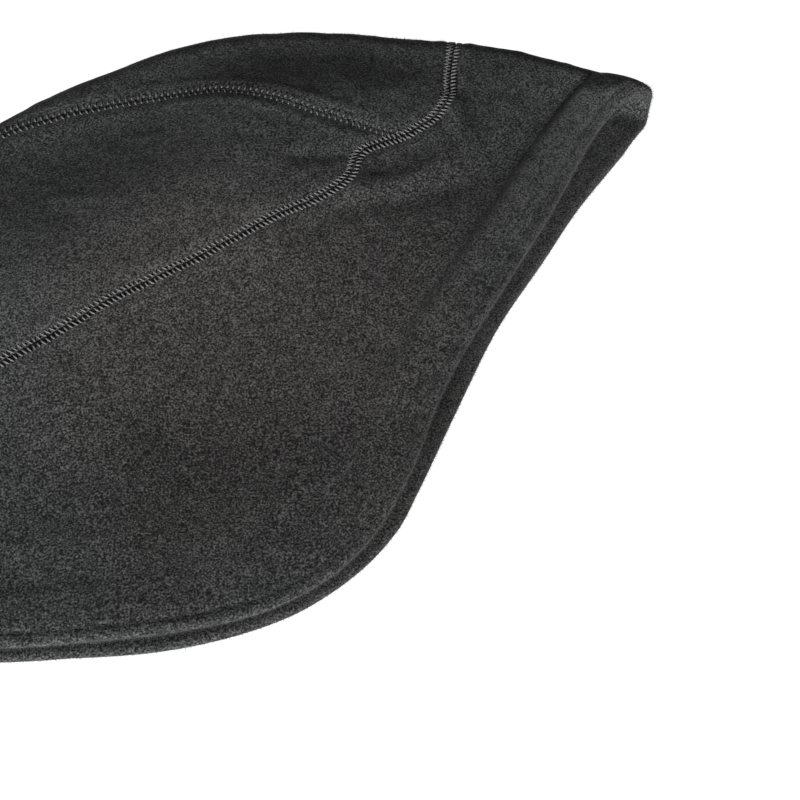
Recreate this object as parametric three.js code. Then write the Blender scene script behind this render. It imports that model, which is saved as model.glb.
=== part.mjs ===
// A fleece cap with ear flaps, lying flat on its side.
//
// Millimetres. +X points to the brow, +Y to the crown, +Z up from the table that the cap lies on.
// The origin is under the middle of the cap's box. Every piece of cloth is a closed wall with an
// outer and an inner face. The lower layer lies flat on the table. The upper layer is held over it
// by the rounded fold that runs from the brow over the crown to the nape. The opening for the head
// is the gap between the two layers along their free edges.
import * as THREE from "three";

// Driving dimensions
const CLOTH = 1.8; // thickness of one layer of fleece
const HEM_WIDTH = 18.5; // from the free edge to the end of the turned-in cloth
const HEM_PROUD = 0.7; // the doubled hem stands this much over the band's outer face
const HEM_THICKNESS = 3.6; // the hem is the same cloth turned in once
const SEAM_GAP = 0.3; // clear space between neighbouring panels
const FOLD_RISE = 30; // beyond the fold the upper layer takes this far to reach its free height
const GORE_TRIM = 0.043; // share of a mesh step that the gore's ends stay back from the seam
const SIDE_TIP_TRIM = 0.4; // the same at the side panels' pointed ends
const END_PULL = 6; // how fast a line's pull towards the fold fades away from its ends

// Mesh steps
const FOLD_STEPS = 4; // facets of a quarter turn at the front fold
const FRONT_SEAM_STEPS = 6; // from the fold to the corner where three panels meet
const SIDE_STEPS = 24; // from that corner to the back one
const BACK_SEAM_STEPS = 2; // from the back corner to the fold
const BAND_ROWS = 7;
const SIDE_ROWS = 8;

// The fold's outer line from the brow tip over the crown to the nape tip. radius is that of the
// rounded fold, and gore is half the centre gore's width, measured along the cloth from the fold.
const FOLD = [
  { x: 124.2, y: 84.5, radius: 8.6, gore: 52 },
  { x: 106, y: 91.5, radius: 8.2, gore: 52 },
  { x: 90, y: 97.5, radius: 8.2, gore: 52 },
  { x: 74, y: 101.8, radius: 8.6, gore: 52 },
  { x: 57, y: 103.4, radius: 9, gore: 52 },
  { x: 39, y: 105, radius: 9.4, gore: 51.4 },
  { x: 20, y: 106.4, radius: 9.8, gore: 48.4 },
  { x: 3, y: 106.8, radius: 10, gore: 44.4 },
  { x: -14, y: 105.2, radius: 10, gore: 39.2 },
  { x: -27.5, y: 101.9, radius: 10, gore: 35.2 },
  { x: -46, y: 94, radius: 10, gore: 28.6 },
  { x: -65, y: 84.3, radius: 10, gore: 22.9 },
  { x: -77.5, y: 76.9, radius: 10, gore: 19.4 },
  { x: -90, y: 67.4, radius: 10, gore: 15.6 },
  { x: -106, y: 51.5, radius: 10, gore: 12.8 },
  { x: -117, y: 32, radius: 10, gore: 11.4 },
  { x: -123.3, y: 8, radius: 10, gore: 10.2 },
  { x: -124.8, y: -18, radius: 9.6, gore: 9.2 },
  { x: -122.8, y: -45, radius: 9, gore: 8.4 },
  { x: -117, y: -76, radius: 8.2, gore: 8.4 },
  { x: -109.5, y: -102.5, radius: 7.6, gore: 8.4 },
];

// Free edge of the lower layer, from the brow tip round the ear flap to the nape tip.
const LOWER_EDGE = [
  { x: 124.2, y: 84.5 },
  { x: 121, y: 75.5 },
  { x: 112.7, y: 64.3 },
  { x: 97.1, y: 42.5 },
  { x: 85, y: 22.3 },
  { x: 69.7, y: -3.1 },
  { x: 57, y: -31.3 },
  { x: 45.5, y: -58 },
  { x: 39.4, y: -70.7 },
  { x: 29, y: -83.2 },
  { x: 13, y: -95.2 },
  { x: -3, y: -102 },
  { x: -24.2, y: -107 },
  { x: -47.6, y: -109 },
  { x: -75, y: -110 },
  { x: -109.5, y: -102.5 },
];

// Free edge of the upper layer. It lies a little behind the lower one.
const UPPER_EDGE = [
  { x: 124.2, y: 84.5 },
  { x: 120, y: 75.8 },
  { x: 111.8, y: 67 },
  { x: 97.2, y: 46.3 },
  { x: 83.7, y: 23.6 },
  { x: 69.5, y: -1 },
  { x: 60.2, y: -17.3 },
  { x: 51.4, y: -35.5 },
  { x: 44.7, y: -54.5 },
  { x: 39, y: -66.6 },
  { x: 31.2, y: -79 },
  { x: 20.6, y: -89.6 },
  { x: 2.2, y: -100 },
  { x: -20, y: -105.6 },
  { x: -46.5, y: -108.9 },
  { x: -75, y: -109.6 },
  { x: -109.5, y: -102.5 },
];

// The seam between the ear band and the crown, front to back. Its ends lie on the fold, and corner
// marks the two places where the gore, a side panel and the band meet.
const BAND_SEAM = [
  { x: 58.8, y: 103.2, corner: false },
  { x: 57, y: 89.6, corner: false },
  { x: 55.2, y: 74, corner: false },
  { x: 50.6, y: 66, corner: false },
  { x: 41.6, y: 58.7, corner: true },
  { x: 34, y: 54.8, corner: false },
  { x: 27.2, y: 50.2, corner: false },
  { x: 24.2, y: 41.2, corner: false },
  { x: 15.5, y: 32.6, corner: false },
  { x: 3.6, y: 25.2, corner: false },
  { x: -11.1, y: 15, corner: false },
  { x: -25.6, y: 6, corner: false },
  { x: -42.4, y: -4.1, corner: false },
  { x: -59, y: -16, corner: false },
  { x: -75.3, y: -26.6, corner: false },
  { x: -90, y: -36.2, corner: false },
  { x: -106, y: -42.6, corner: false },
  { x: -119.4, y: -45, corner: true },
  { x: -122.8, y: -45, corner: false },
];

// Height of the upper layer's outer face over the table, blended between these places.
const HEIGHTS = [
  { x: 118, y: 76, z: 16.9 },
  { x: 104, y: 57, z: 19.1 },
  { x: 84, y: 25, z: 19.4 },
  { x: 68, y: -3, z: 18.6 },
  { x: 52, y: -36, z: 16.6 },
  { x: 41, y: -64, z: 13.6 },
  { x: 22, y: -87, z: 8.1 },
  { x: 0, y: -99, z: 8.6 },
  { x: -30, y: -106, z: 9.6 },
  { x: -70, y: -108, z: 9.8 },
  { x: -104, y: -95, z: 14 },
  { x: -88, y: 42, z: 20.6 },
  { x: -65, y: 66, z: 17.2 },
  { x: -38, y: 84, z: 19.8 },
  { x: -10, y: 90, z: 25.4 },
  { x: 15, y: 92, z: 26.4 },
  { x: 38, y: 92, z: 23.4 },
  { x: 72, y: 90, z: 16.3 },
  { x: 100, y: 82, z: 13.5 },
  { x: -88, y: 14, z: 24.2 },
  { x: -60, y: 36, z: 21.8 },
  { x: -30, y: 52, z: 23.1 },
  { x: 0, y: 58, z: 25.6 },
  { x: 26, y: 66, z: 25.1 },
  { x: 50, y: 72, z: 21.4 },
  { x: 82, y: 64, z: 13.6 },
  { x: -62, y: 4, z: 29.2 },
  { x: -34, y: 20, z: 31.6 },
  { x: -6, y: 36, z: 33.1 },
  { x: 18, y: 44, z: 23.6 },
  { x: 38, y: 46, z: 17.1 },
  { x: 64, y: 46, z: 14 },
  { x: -84, y: -30, z: 23.3 },
  { x: -52, y: -18, z: 21.4 },
  { x: -24, y: 0, z: 19.4 },
  { x: 4, y: 16, z: 19.3 },
  { x: 30, y: 22, z: 16.7 },
  { x: 56, y: 20, z: 17.2 },
  { x: -80, y: -58, z: 17.5 },
  { x: -50, y: -46, z: 17.5 },
  { x: -20, y: -30, z: 15.2 },
  { x: 8, y: -16, z: 14.6 },
  { x: 36, y: -6, z: 15.5 },
  { x: -80, y: -84, z: 13.1 },
  { x: -50, y: -72, z: 10.5 },
  { x: -20, y: -60, z: 10.2 },
  { x: 8, y: -46, z: 11.1 },
  { x: 30, y: -38, z: 14 },
  { x: -45, y: -92, z: 17.1 },
  { x: -12, y: -84, z: 18.8 },
  { x: 12, y: -72, z: 15.9 },
];
const HEIGHT_REACH = 18;

// Long soft folds in the upper layer, each along a line. rise is negative in a valley.
const CREASES = [
  {
    place: "ridge round the corner",
    line: [[27, 36], [38, 40], [46, 43.5], [55, 50.5], [60, 61], [58, 72]],
    width: 4,
    rise: 1.2,
  },
  {
    place: "valley outside the ridge",
    line: [[8, 20], [23, 30], [43, 35], [62, 43], [70, 53]],
    width: 4.5,
    rise: -0.9,
  },
  {
    place: "hollow behind the pucker",
    line: [[8, 46], [16, 47.5], [25, 50]],
    width: 3,
    rise: -0.7,
  },
  {
    place: "ridge in the gore",
    line: [[37, 76], [45, 83], [51, 91]],
    width: 2.6,
    rise: 0.5,
  },
];

// The hem's cross section, once round it: outer face, rolled edge, inner face. fromEdge runs back
// from the free edge, and depth goes down from the band's outer face. The dip is the topstitch line.
const HEM_SECTION = [
  { fromEdge: HEM_WIDTH - SEAM_GAP / 2, depth: -0.2 },
  { fromEdge: 16.4, depth: -HEM_PROUD },
  { fromEdge: 6.4, depth: -HEM_PROUD },
  { fromEdge: 4.4, depth: 0 },
  { fromEdge: 2.6, depth: -HEM_PROUD },
  { fromEdge: 0.9, depth: -0.3 },
  { fromEdge: 0, depth: 0.7 },
  { fromEdge: 0, depth: 1.8 },
  { fromEdge: 1.1, depth: HEM_THICKNESS - HEM_PROUD },
  { fromEdge: HEM_WIDTH - SEAM_GAP / 2, depth: HEM_THICKNESS - HEM_PROUD },
];

const FLEECE = { color: 0x35363a, roughness: 0.98, metalness: 0 };

const QUARTER_TURN = Math.PI / 2;
const CURVE_SAMPLES = 1200;
const UPPER = 1;
const LOWER = -1;

function smoothStep(value, reach) {
  const t = THREE.MathUtils.clamp(value / reach, 0, 1);
  return t * t * (3 - 2 * t);
}

// A curve through a table's rows. The third number it carries is free for one of its columns.
function curveThrough(rows, column) {
  const points = rows.map((row) => new THREE.Vector3(row.x, row.y, column ? row[column] : 0));
  const curve = new THREE.CatmullRomCurve3(points, false, "centripetal");
  curve.arcLengthDivisions = CURVE_SAMPLES;
  return curve;
}

const plan = (v) => new THREE.Vector2(v.x, v.y);
const mix = (a, b, t) => a.clone().lerp(b, t);
const steps = (count) => Array.from({ length: count + 1 }, (_, i) => i / count);

// The fold as closely spaced stations
const foldCurve = curveThrough(FOLD, "radius");
const goreCurve = curveThrough(FOLD, "gore");

function foldStation(t) {
  const point = foldCurve.getPoint(t);
  const along = foldCurve.getTangent(t);
  const outward = new THREE.Vector2(along.y, -along.x).normalize();
  return { t, point: plan(point), radius: point.z, gore: goreCurve.getPoint(t).z, outward };
}

const foldStations = steps(CURVE_SAMPLES).map(foldStation);

// The fold station nearest to a place in plan, and how far inside the fold line the place is
function nearestFold(p) {
  let best = foldStations[0];
  for (const station of foldStations) {
    if (station.point.distanceToSquared(p) < best.point.distanceToSquared(p)) best = station;
  }
  return { ...best, inside: Math.max(0, best.point.clone().sub(p).dot(best.outward)) };
}

// How far inside the fold line, in plan, the cloth is at this distance along it from the fold
function insideAt(cloth, radius) {
  const arc = radius * QUARTER_TURN;
  return cloth < arc ? radius * (1 - Math.cos(cloth / radius)) : radius + cloth - arc;
}

function clothAt(inside, radius) {
  return inside < radius ? radius * Math.acos(1 - inside / radius) : inside - radius + radius * QUARTER_TURN;
}

function freeHeight(p) {
  let sum = 0;
  let weights = 0;
  for (const row of HEIGHTS) {
    const weight = Math.exp(-0.5 * (Math.hypot(p.x - row.x, p.y - row.y) / HEIGHT_REACH) ** 2);
    sum += weight * row.z;
    weights += weight;
  }
  return sum / weights;
}

function distanceToStretch(p, from, to) {
  const start = new THREE.Vector2(...from);
  const run = new THREE.Vector2(...to).sub(start);
  const along = THREE.MathUtils.clamp(p.clone().sub(start).dot(run) / run.lengthSq(), 0, 1);
  return p.distanceTo(start.addScaledVector(run, along));
}

function creaseRise(p) {
  let rise = 0;
  for (const crease of CREASES) {
    const stretches = crease.line.slice(1).map((to, index) => distanceToStretch(p, crease.line[index], to));
    rise += crease.rise * Math.exp(-((Math.min(...stretches) / crease.width) ** 2));
  }
  return rise;
}

// A point of the cap from a place in plan, its layer and its depth under that layer's outer face.
// Within the fold's radius the layer turns round towards the fold line. liftedFace is how far the
// whole wall moves down on the table side, so that a wall that stands proud still rests at zero.
function place(p, side, depth, liftedFace = 0) {
  const { radius, inside, outward } = nearestFold(p);
  if (inside < radius) {
    const angle = Math.acos(1 - inside / radius);
    const sunk = depth + liftedFace * 0.5 * (1 - side * Math.sin(angle));
    const shift = inside - radius + (radius - sunk) * Math.cos(angle);
    const spot = p.clone().addScaledVector(outward, shift);
    return new THREE.Vector3(spot.x, spot.y, radius + side * (radius - sunk) * Math.sin(angle));
  }
  if (side === LOWER) return new THREE.Vector3(p.x, p.y, depth + liftedFace);
  const free = smoothStep(inside - radius, FOLD_RISE);
  const top = THREE.MathUtils.lerp(2 * radius, freeHeight(p) + creaseRise(p), free);
  return new THREE.Vector3(p.x, p.y, top - depth);
}

// The band seam as a chain of stations that all the panels on it share, as shares of its length
const seamCurve = curveThrough(BAND_SEAM);

function cornerShares() {
  const lengths = seamCurve.getLengths();
  const spans = BAND_SEAM.length - 1;
  const shareOf = (row) => lengths[Math.round((row / spans) * CURVE_SAMPLES)] / lengths.at(-1);
  return BAND_SEAM.flatMap((row, index) => (row.corner ? [shareOf(index)] : []));
}

const [frontCorner, backCorner] = cornerShares();
const foldShare = nearestFold(plan(BAND_SEAM[0])).radius / seamCurve.getLength();
const stations = [
  ...steps(FOLD_STEPS).map((s) => foldShare * (1 - Math.cos(s * QUARTER_TURN))),
  ...steps(FRONT_SEAM_STEPS).slice(1).map((s) => THREE.MathUtils.lerp(foldShare, frontCorner, s)),
  ...steps(SIDE_STEPS).slice(1).map((s) => THREE.MathUtils.lerp(frontCorner, backCorner, s)),
  ...steps(BACK_SEAM_STEPS).slice(1).map((s) => THREE.MathUtils.lerp(backCorner, 1, s)),
];
const FRONT = FOLD_STEPS + FRONT_SEAM_STEPS; // the front corner's place among the stations
const BACK = FRONT + SIDE_STEPS;
const seamLine = stations.map((share) => plan(seamCurve.getPointAt(share)));

// Puts both ends of a line on the fold and lets the change fade out along the line
function endOnFold(line) {
  const ends = [line[0], line.at(-1)].map((end) => nearestFold(end).point.clone().sub(end));
  return line.map((point, index) => {
    const share = stations[index];
    const spot = point.clone().addScaledVector(ends[0], (1 - share) ** END_PULL);
    return spot.addScaledVector(ends[1], share ** END_PULL);
  });
}

// The free edge of a layer at the seam's stations, and the line where its hem ends
function edgeAndHem(rows) {
  const curve = curveThrough(rows);
  const edge = stations.map((share) => plan(curve.getPointAt(share)));
  const hem = stations.map((share) => {
    const along = curve.getTangentAt(share);
    const inward = new THREE.Vector2(along.y, -along.x).normalize();
    return plan(curve.getPointAt(share)).addScaledVector(inward, HEM_WIDTH);
  });
  return { edge, hem: endOnFold(hem) };
}

// A row of points between two lines whose ends lie on the fold. Its own ends follow the fold too.
function rowBetween(from, to, share) {
  const last = from.length - 1;
  const pulls = [0, last].map((end) => {
    const t = THREE.MathUtils.lerp(nearestFold(from[end]).t, nearestFold(to[end]).t, share);
    return plan(foldCurve.getPoint(t)).sub(mix(from[end], to[end], share));
  });
  return from.map((point, index) => {
    const spot = mix(point, to[index], share);
    spot.addScaledVector(pulls[0], (1 - stations[index]) ** END_PULL);
    return spot.addScaledVector(pulls[1], stations[index] ** END_PULL);
  });
}

// Moves each point of a line a short way towards its partner on another line
function inset(line, partner, distance) {
  return line.map((point, index) => {
    const way = partner[index].clone().sub(point).normalize();
    return point.clone().addScaledVector(way, distance);
  });
}

// A closed body from sections, each a closed chain of as many points. A ring joins up with itself,
// and an open run of sections gets a cap at both ends, whose chain is outer face then inner face.
function bodyFrom(sections, isRing) {
  const size = sections[0].length;
  const positions = sections.flat().flatMap((v) => [v.x, v.y, v.z]);
  const index = [];
  const quad = (a, b, c, d) => index.push(a, b, c, a, c, d);
  const spans = isRing ? sections.length : sections.length - 1;
  for (let i = 0; i < spans; i += 1) {
    const here = i * size;
    const next = ((i + 1) % sections.length) * size;
    for (let j = 0; j < size; j += 1) {
      const k = (j + 1) % size;
      quad(here + j, here + k, next + k, next + j);
    }
  }
  if (!isRing) {
    const end = (sections.length - 1) * size;
    for (let j = 0; j < size / 2 - 1; j += 1) {
      const k = size - 1 - j;
      quad(j, k, k - 1, j + 1);
      quad(end + j, end + j + 1, end + k - 1, end + k);
    }
  }
  const geometry = new THREE.BufferGeometry();
  geometry.setAttribute("position", new THREE.Float32BufferAttribute(positions, 3));
  geometry.setIndex(signedVolume(positions, index) < 0 ? index.reverse() : index);
  geometry.computeVertexNormals();
  return geometry;
}

function signedVolume(positions, index) {
  const corner = (i) => new THREE.Vector3().fromArray(positions, index[i] * 3);
  let volume = 0;
  for (let i = 0; i < index.length; i += 3) {
    volume += corner(i).dot(corner(i + 1).cross(corner(i + 2))) / 6;
  }
  return volume;
}

// The chain round a wall: along its outer face and back along its inner face
function wallChain(row, side) {
  const outer = row.map((p) => place(p, side, 0));
  const inner = row.map((p) => place(p, side, CLOTH));
  return [...outer, ...inner.reverse()];
}

// The sections of a ring that runs along the upper layer and back along the lower one
function ringSections(upper, lower, chainAt) {
  const last = stations.length - 1;
  const there = stations.map((_, index) => chainAt(upper, index, UPPER));
  const back = stations.slice(1, last).map((_, index) => chainAt(lower, last - 1 - index, LOWER));
  return [...there, ...back];
}

const layers = { upper: edgeAndHem(UPPER_EDGE), lower: edgeAndHem(LOWER_EDGE) };

function earBand() {
  const rowsOf = (layer) => {
    const from = inset(layer.hem, seamLine, SEAM_GAP / 2);
    const to = inset(seamLine, layer.hem, SEAM_GAP / 2);
    return steps(BAND_ROWS).map((share) => rowBetween(from, to, share));
  };
  const chainAt = (rows, index, side) => wallChain(rows.map((row) => row[index]), side);
  return bodyFrom(ringSections(rowsOf(layers.upper), rowsOf(layers.lower), chainAt), true);
}

function hem() {
  const rowsOf = (layer) =>
    HEM_SECTION.map((row) => rowBetween(layer.edge, layer.hem, row.fromEdge / HEM_WIDTH));
  const chainAt = (rows, index, side) =>
    rows.map((row, number) => place(row[index], side, HEM_SECTION[number].depth, HEM_PROUD));
  return bodyFrom(ringSections(rowsOf(layers.upper), rowsOf(layers.lower), chainAt), true);
}

// The gore's half on one layer as runs from front to back, one for each station of the front seam.
// The last run is the crown seam.
const goreRuns = seamLine.slice(0, FRONT + 1).map((start, index) => {
  const from = nearestFold(start);
  const corner = nearestFold(seamLine[FRONT]);
  const share = clothAt(from.inside, from.radius) / clothAt(corner.inside, corner.radius);
  const end = nearestFold(seamLine.at(-1)).t;
  return steps(SIDE_STEPS).map((run) => {
    if (run === 0) return start;
    const fold = foldStation(THREE.MathUtils.lerp(from.t, end, run));
    const edgeGap = index === FRONT ? SEAM_GAP / 2 : 0;
    const inside = insideAt(share * fold.gore - edgeGap, fold.radius);
    return fold.point.clone().addScaledVector(fold.outward, -inside);
  });
});
const crownSeam = goreRuns[FRONT];

function crownGore() {
  const trimmed = goreRuns.map((run) => {
    const ends = [mix(run[0], run[1], GORE_TRIM), mix(run.at(-1), run.at(-2), GORE_TRIM)];
    return [ends[0], ...run.slice(1, -1), ends[1]];
  });
  const sections = steps(SIDE_STEPS).map((_, index) => {
    const half = trimmed.map((run) => run[index]);
    const faces = [0, CLOTH].map((depth) => [
      ...half.slice(1).reverse().map((p) => place(p, LOWER, depth)),
      ...half.map((p) => place(p, UPPER, depth)),
    ]);
    return [...faces[0], ...faces[1].reverse()];
  });
  return bodyFrom(sections, false);
}

// A side panel of the crown, between the band seam and the crown seam, with both tips cut blunt
function crownSide(side) {
  const blunt = (line) => [
    mix(line[0], line[1], SIDE_TIP_TRIM),
    ...line.slice(1, -1),
    mix(line.at(-1), line.at(-2), SIDE_TIP_TRIM),
  ];
  const seamSide = blunt(seamLine.slice(FRONT, BACK + 1));
  const crownEdge = blunt(crownSeam);
  const from = inset(seamSide, crownEdge, SEAM_GAP / 2);
  const to = inset(crownEdge, seamSide, SEAM_GAP / 2);
  const sections = from.map((start, index) => {
    const row = steps(SIDE_ROWS).map((share) => mix(start, to[index], share));
    return wallChain(row, side);
  });
  return bodyFrom(sections, false);
}

function piece(name, geometry) {
  const mesh = new THREE.Mesh(geometry, new THREE.MeshStandardMaterial(FLEECE));
  mesh.name = name;
  return mesh;
}

const cap = new THREE.Group();
cap.add(
  piece("crown_centre_gore", crownGore()),
  piece("crown_side_upper", crownSide(UPPER)),
  piece("crown_side_lower", crownSide(LOWER)),
  piece("ear_band", earBand()),
  piece("hem", hem()),
);

// The origin goes under the middle of the cap's box
const box = new THREE.Box3().setFromObject(cap);
const middle = box.getCenter(new THREE.Vector3());
cap.position.set(-middle.x, -middle.y, -box.min.z);

export default cap;
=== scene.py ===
"""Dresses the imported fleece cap: cloth panels, seams, stitches, nap, camera and light.

The cap lies flat on its side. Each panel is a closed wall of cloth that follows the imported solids,
with its seams, hem and soft folds as geometry. Tables are in millimetres on the cap's flat pattern:
x to the brow, y to the crown. Everything that reaches a mesh is in metres, in the frame's place.
"""

import itertools
import logging
import math
from dataclasses import dataclass, field
from enum import Enum

import bpy
import numpy as np
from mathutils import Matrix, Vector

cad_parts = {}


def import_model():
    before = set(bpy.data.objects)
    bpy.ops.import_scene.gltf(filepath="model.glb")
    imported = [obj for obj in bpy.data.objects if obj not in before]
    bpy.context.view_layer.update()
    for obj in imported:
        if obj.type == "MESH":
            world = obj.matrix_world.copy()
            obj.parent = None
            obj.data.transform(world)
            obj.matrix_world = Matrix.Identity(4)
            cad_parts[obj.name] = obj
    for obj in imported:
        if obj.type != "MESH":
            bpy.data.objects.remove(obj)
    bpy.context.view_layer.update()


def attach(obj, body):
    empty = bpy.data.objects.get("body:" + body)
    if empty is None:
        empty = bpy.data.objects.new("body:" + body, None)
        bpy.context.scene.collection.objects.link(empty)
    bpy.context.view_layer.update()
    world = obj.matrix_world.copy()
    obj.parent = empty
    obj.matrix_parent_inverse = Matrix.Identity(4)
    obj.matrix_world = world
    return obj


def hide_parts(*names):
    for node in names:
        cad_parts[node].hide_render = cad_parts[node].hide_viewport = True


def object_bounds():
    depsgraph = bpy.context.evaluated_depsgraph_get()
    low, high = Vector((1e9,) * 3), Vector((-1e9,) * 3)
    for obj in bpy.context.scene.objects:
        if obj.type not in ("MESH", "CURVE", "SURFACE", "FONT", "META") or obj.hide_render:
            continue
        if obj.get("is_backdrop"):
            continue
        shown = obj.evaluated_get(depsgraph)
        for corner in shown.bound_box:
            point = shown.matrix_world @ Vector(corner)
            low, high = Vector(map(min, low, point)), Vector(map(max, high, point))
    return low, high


LOG = logging.getLogger("cap")
MM = 0.001
QUARTER_TURN = math.pi / 2
CURVE_SAMPLES = 2400
# The fold is searched in coarse steps first, then within these reaches, all in samples.
COARSE_STEP = 8
REFINING_REACHES = (8, 3, 2)
# How many places are measured at once, so that the tables of distances stay small.
CHUNK = 4000
# Half the length over which a line's direction is taken, in millimetres.
INWARD_STEP = 0.5
# How fast a move of a line's end fades out along the line.
END_PULL = 6
# The attribute that carries the nap's painted light and shade.
PAINTED_NAP_LIGHT_AND_SHADE = "painted_nap_light_and_shade"


class Layer(Enum):
    """The cap's two layers of cloth as it lies flat."""

    UPPER = 1
    LOWER = -1


@dataclass(frozen=True)
class FoldRow:
    """A place on the fold's outer line.

    radius is the rounded fold's, and gore is half the centre gore's width along the cloth.
    """

    x: float
    y: float
    radius: float
    gore: float


@dataclass(frozen=True)
class PlanRow:
    """A place that a line on the pattern runs through. corner marks where three panels meet."""

    x: float
    y: float
    corner: bool = False


@dataclass(frozen=True)
class HeightRow:
    """How high the upper layer's outer face lies over the table at one place."""

    x: float
    y: float
    z: float


@dataclass(frozen=True)
class CreaseRow:
    """A soft fold along a line on the pattern. rise is less than 0 in a valley."""

    place: str
    line: tuple[tuple[float, float], ...]
    width: float
    rise: float


@dataclass(frozen=True)
class HemRow:
    """How far the hem's outer face stands out of the cloth at a distance from the free edge."""

    back: float
    rise: float


FOLD = (
    FoldRow(124.2, 84.5, 8.6, 52),
    FoldRow(106, 91.5, 8.2, 52),
    FoldRow(90, 97.5, 8.2, 52),
    FoldRow(74, 101.8, 8.6, 52),
    FoldRow(57, 103.4, 9, 52),
    FoldRow(39, 105, 9.4, 51.4),
    FoldRow(20, 106.4, 9.8, 48.4),
    FoldRow(3, 106.8, 10, 44.4),
    FoldRow(-14, 105.2, 10, 39.2),
    FoldRow(-27.5, 101.9, 10, 35.2),
    FoldRow(-46, 94, 10, 28.6),
    FoldRow(-65, 84.3, 10, 22.9),
    FoldRow(-77.5, 76.9, 10, 19.4),
    FoldRow(-90, 67.4, 10, 15.6),
    FoldRow(-106, 51.5, 10, 12.8),
    FoldRow(-117, 32, 10, 11.4),
    FoldRow(-123.3, 8, 10, 10.2),
    FoldRow(-124.8, -18, 9.6, 9.2),
    FoldRow(-122.8, -45, 9, 8.4),
    FoldRow(-117, -76, 8.2, 8.4),
    FoldRow(-109.5, -102.5, 7.6, 8.4),
)

LOWER_EDGE = (
    PlanRow(124.2, 84.5),
    PlanRow(121, 75.5),
    PlanRow(112.7, 64.3),
    PlanRow(97.1, 42.5),
    PlanRow(85, 22.3),
    PlanRow(69.7, -3.1),
    PlanRow(57, -31.3),
    PlanRow(45.5, -58),
    PlanRow(39.4, -70.7),
    PlanRow(29, -83.2),
    PlanRow(13, -95.2),
    PlanRow(-3, -102),
    PlanRow(-24.2, -107),
    PlanRow(-47.6, -109),
    PlanRow(-75, -110),
    PlanRow(-109.5, -102.5),
)

UPPER_EDGE = (
    PlanRow(124.2, 84.5),
    PlanRow(120, 75.8),
    PlanRow(111.8, 67),
    PlanRow(97.2, 46.3),
    PlanRow(83.7, 23.6),
    PlanRow(69.5, -1),
    PlanRow(60.2, -17.3),
    PlanRow(51.4, -35.5),
    PlanRow(44.7, -54.5),
    PlanRow(39, -66.6),
    PlanRow(31.2, -79),
    PlanRow(20.6, -89.6),
    PlanRow(2.2, -100),
    PlanRow(-20, -105.6),
    PlanRow(-46.5, -108.9),
    PlanRow(-75, -109.6),
    PlanRow(-109.5, -102.5),
)

BAND_SEAM = (
    PlanRow(58.8, 103.2),
    PlanRow(57, 89.6),
    PlanRow(55.2, 74),
    PlanRow(50.6, 66),
    PlanRow(41.6, 58.7, corner=True),
    PlanRow(34, 54.8),
    PlanRow(27.2, 50.2),
    PlanRow(24.2, 41.2),
    PlanRow(15.5, 32.6),
    PlanRow(3.6, 25.2),
    PlanRow(-11.1, 15),
    PlanRow(-25.6, 6),
    PlanRow(-42.4, -4.1),
    PlanRow(-59, -16),
    PlanRow(-75.3, -26.6),
    PlanRow(-90, -36.2),
    PlanRow(-106, -42.6),
    PlanRow(-119.4, -45, corner=True),
    PlanRow(-122.8, -45),
)

HEIGHTS = (
    HeightRow(118, 76, 16.9),
    HeightRow(104, 57, 19.1),
    HeightRow(84, 25, 19.4),
    HeightRow(68, -3, 18.6),
    HeightRow(52, -36, 16.6),
    HeightRow(41, -64, 13.6),
    HeightRow(22, -87, 8.1),
    HeightRow(0, -99, 8.6),
    HeightRow(-30, -106, 9.6),
    HeightRow(-70, -108, 9.8),
    HeightRow(-104, -95, 14),
    HeightRow(-88, 42, 20.6),
    HeightRow(-65, 66, 17.2),
    HeightRow(-38, 84, 19.8),
    HeightRow(-10, 90, 25.4),
    HeightRow(15, 92, 26.4),
    HeightRow(38, 92, 23.4),
    HeightRow(72, 90, 16.3),
    HeightRow(100, 82, 13.5),
    HeightRow(-88, 14, 24.2),
    HeightRow(-60, 36, 21.8),
    HeightRow(-30, 52, 23.1),
    HeightRow(0, 58, 25.6),
    HeightRow(26, 66, 25.1),
    HeightRow(50, 72, 21.4),
    HeightRow(82, 64, 13.6),
    HeightRow(-62, 4, 29.2),
    HeightRow(-34, 20, 31.6),
    HeightRow(-6, 36, 33.1),
    HeightRow(18, 44, 23.6),
    HeightRow(38, 46, 17.1),
    HeightRow(64, 46, 14),
    HeightRow(-84, -30, 23.3),
    HeightRow(-52, -18, 21.4),
    HeightRow(-24, 0, 19.4),
    HeightRow(4, 16, 19.3),
    HeightRow(30, 22, 16.7),
    HeightRow(56, 20, 17.2),
    HeightRow(-80, -58, 17.5),
    HeightRow(-50, -46, 17.5),
    HeightRow(-20, -30, 15.2),
    HeightRow(8, -16, 14.6),
    HeightRow(36, -6, 15.5),
    HeightRow(-80, -84, 13.1),
    HeightRow(-50, -72, 10.5),
    HeightRow(-20, -60, 10.2),
    HeightRow(8, -46, 11.1),
    HeightRow(30, -38, 14),
    HeightRow(-45, -92, 17.1),
    HeightRow(-12, -84, 18.8),
    HeightRow(12, -72, 15.9),
)
HEIGHT_REACH = 18.0

CREASES = (
    CreaseRow(
        "ridge round the corner",
        ((27, 36), (38, 40), (46, 43.5), (55, 50.5), (60, 61), (58, 72)),
        4,
        1.2,
    ),
    CreaseRow("valley outside the ridge", ((8, 20), (23, 30), (43, 35), (62, 43), (70, 53)), 4.5, -0.9),
    CreaseRow("hollow behind the pucker", ((8, 46), (16, 47.5), (25, 50)), 3, -0.7),
    CreaseRow("ridge in the gore", ((37, 76), (45, 83), (51, 91)), 2.6, 0.5),
)

HEM_RELIEF = (
    HemRow(18.5, 0.0),
    HemRow(16, 0.5),
    HemRow(13, 0.85),
    HemRow(8, 1.0),
    HemRow(6.4, 1.05),
    HemRow(5.2, 1.05),
    HemRow(3.4, 0.9),
    HemRow(1.8, 0.5),
)


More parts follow.
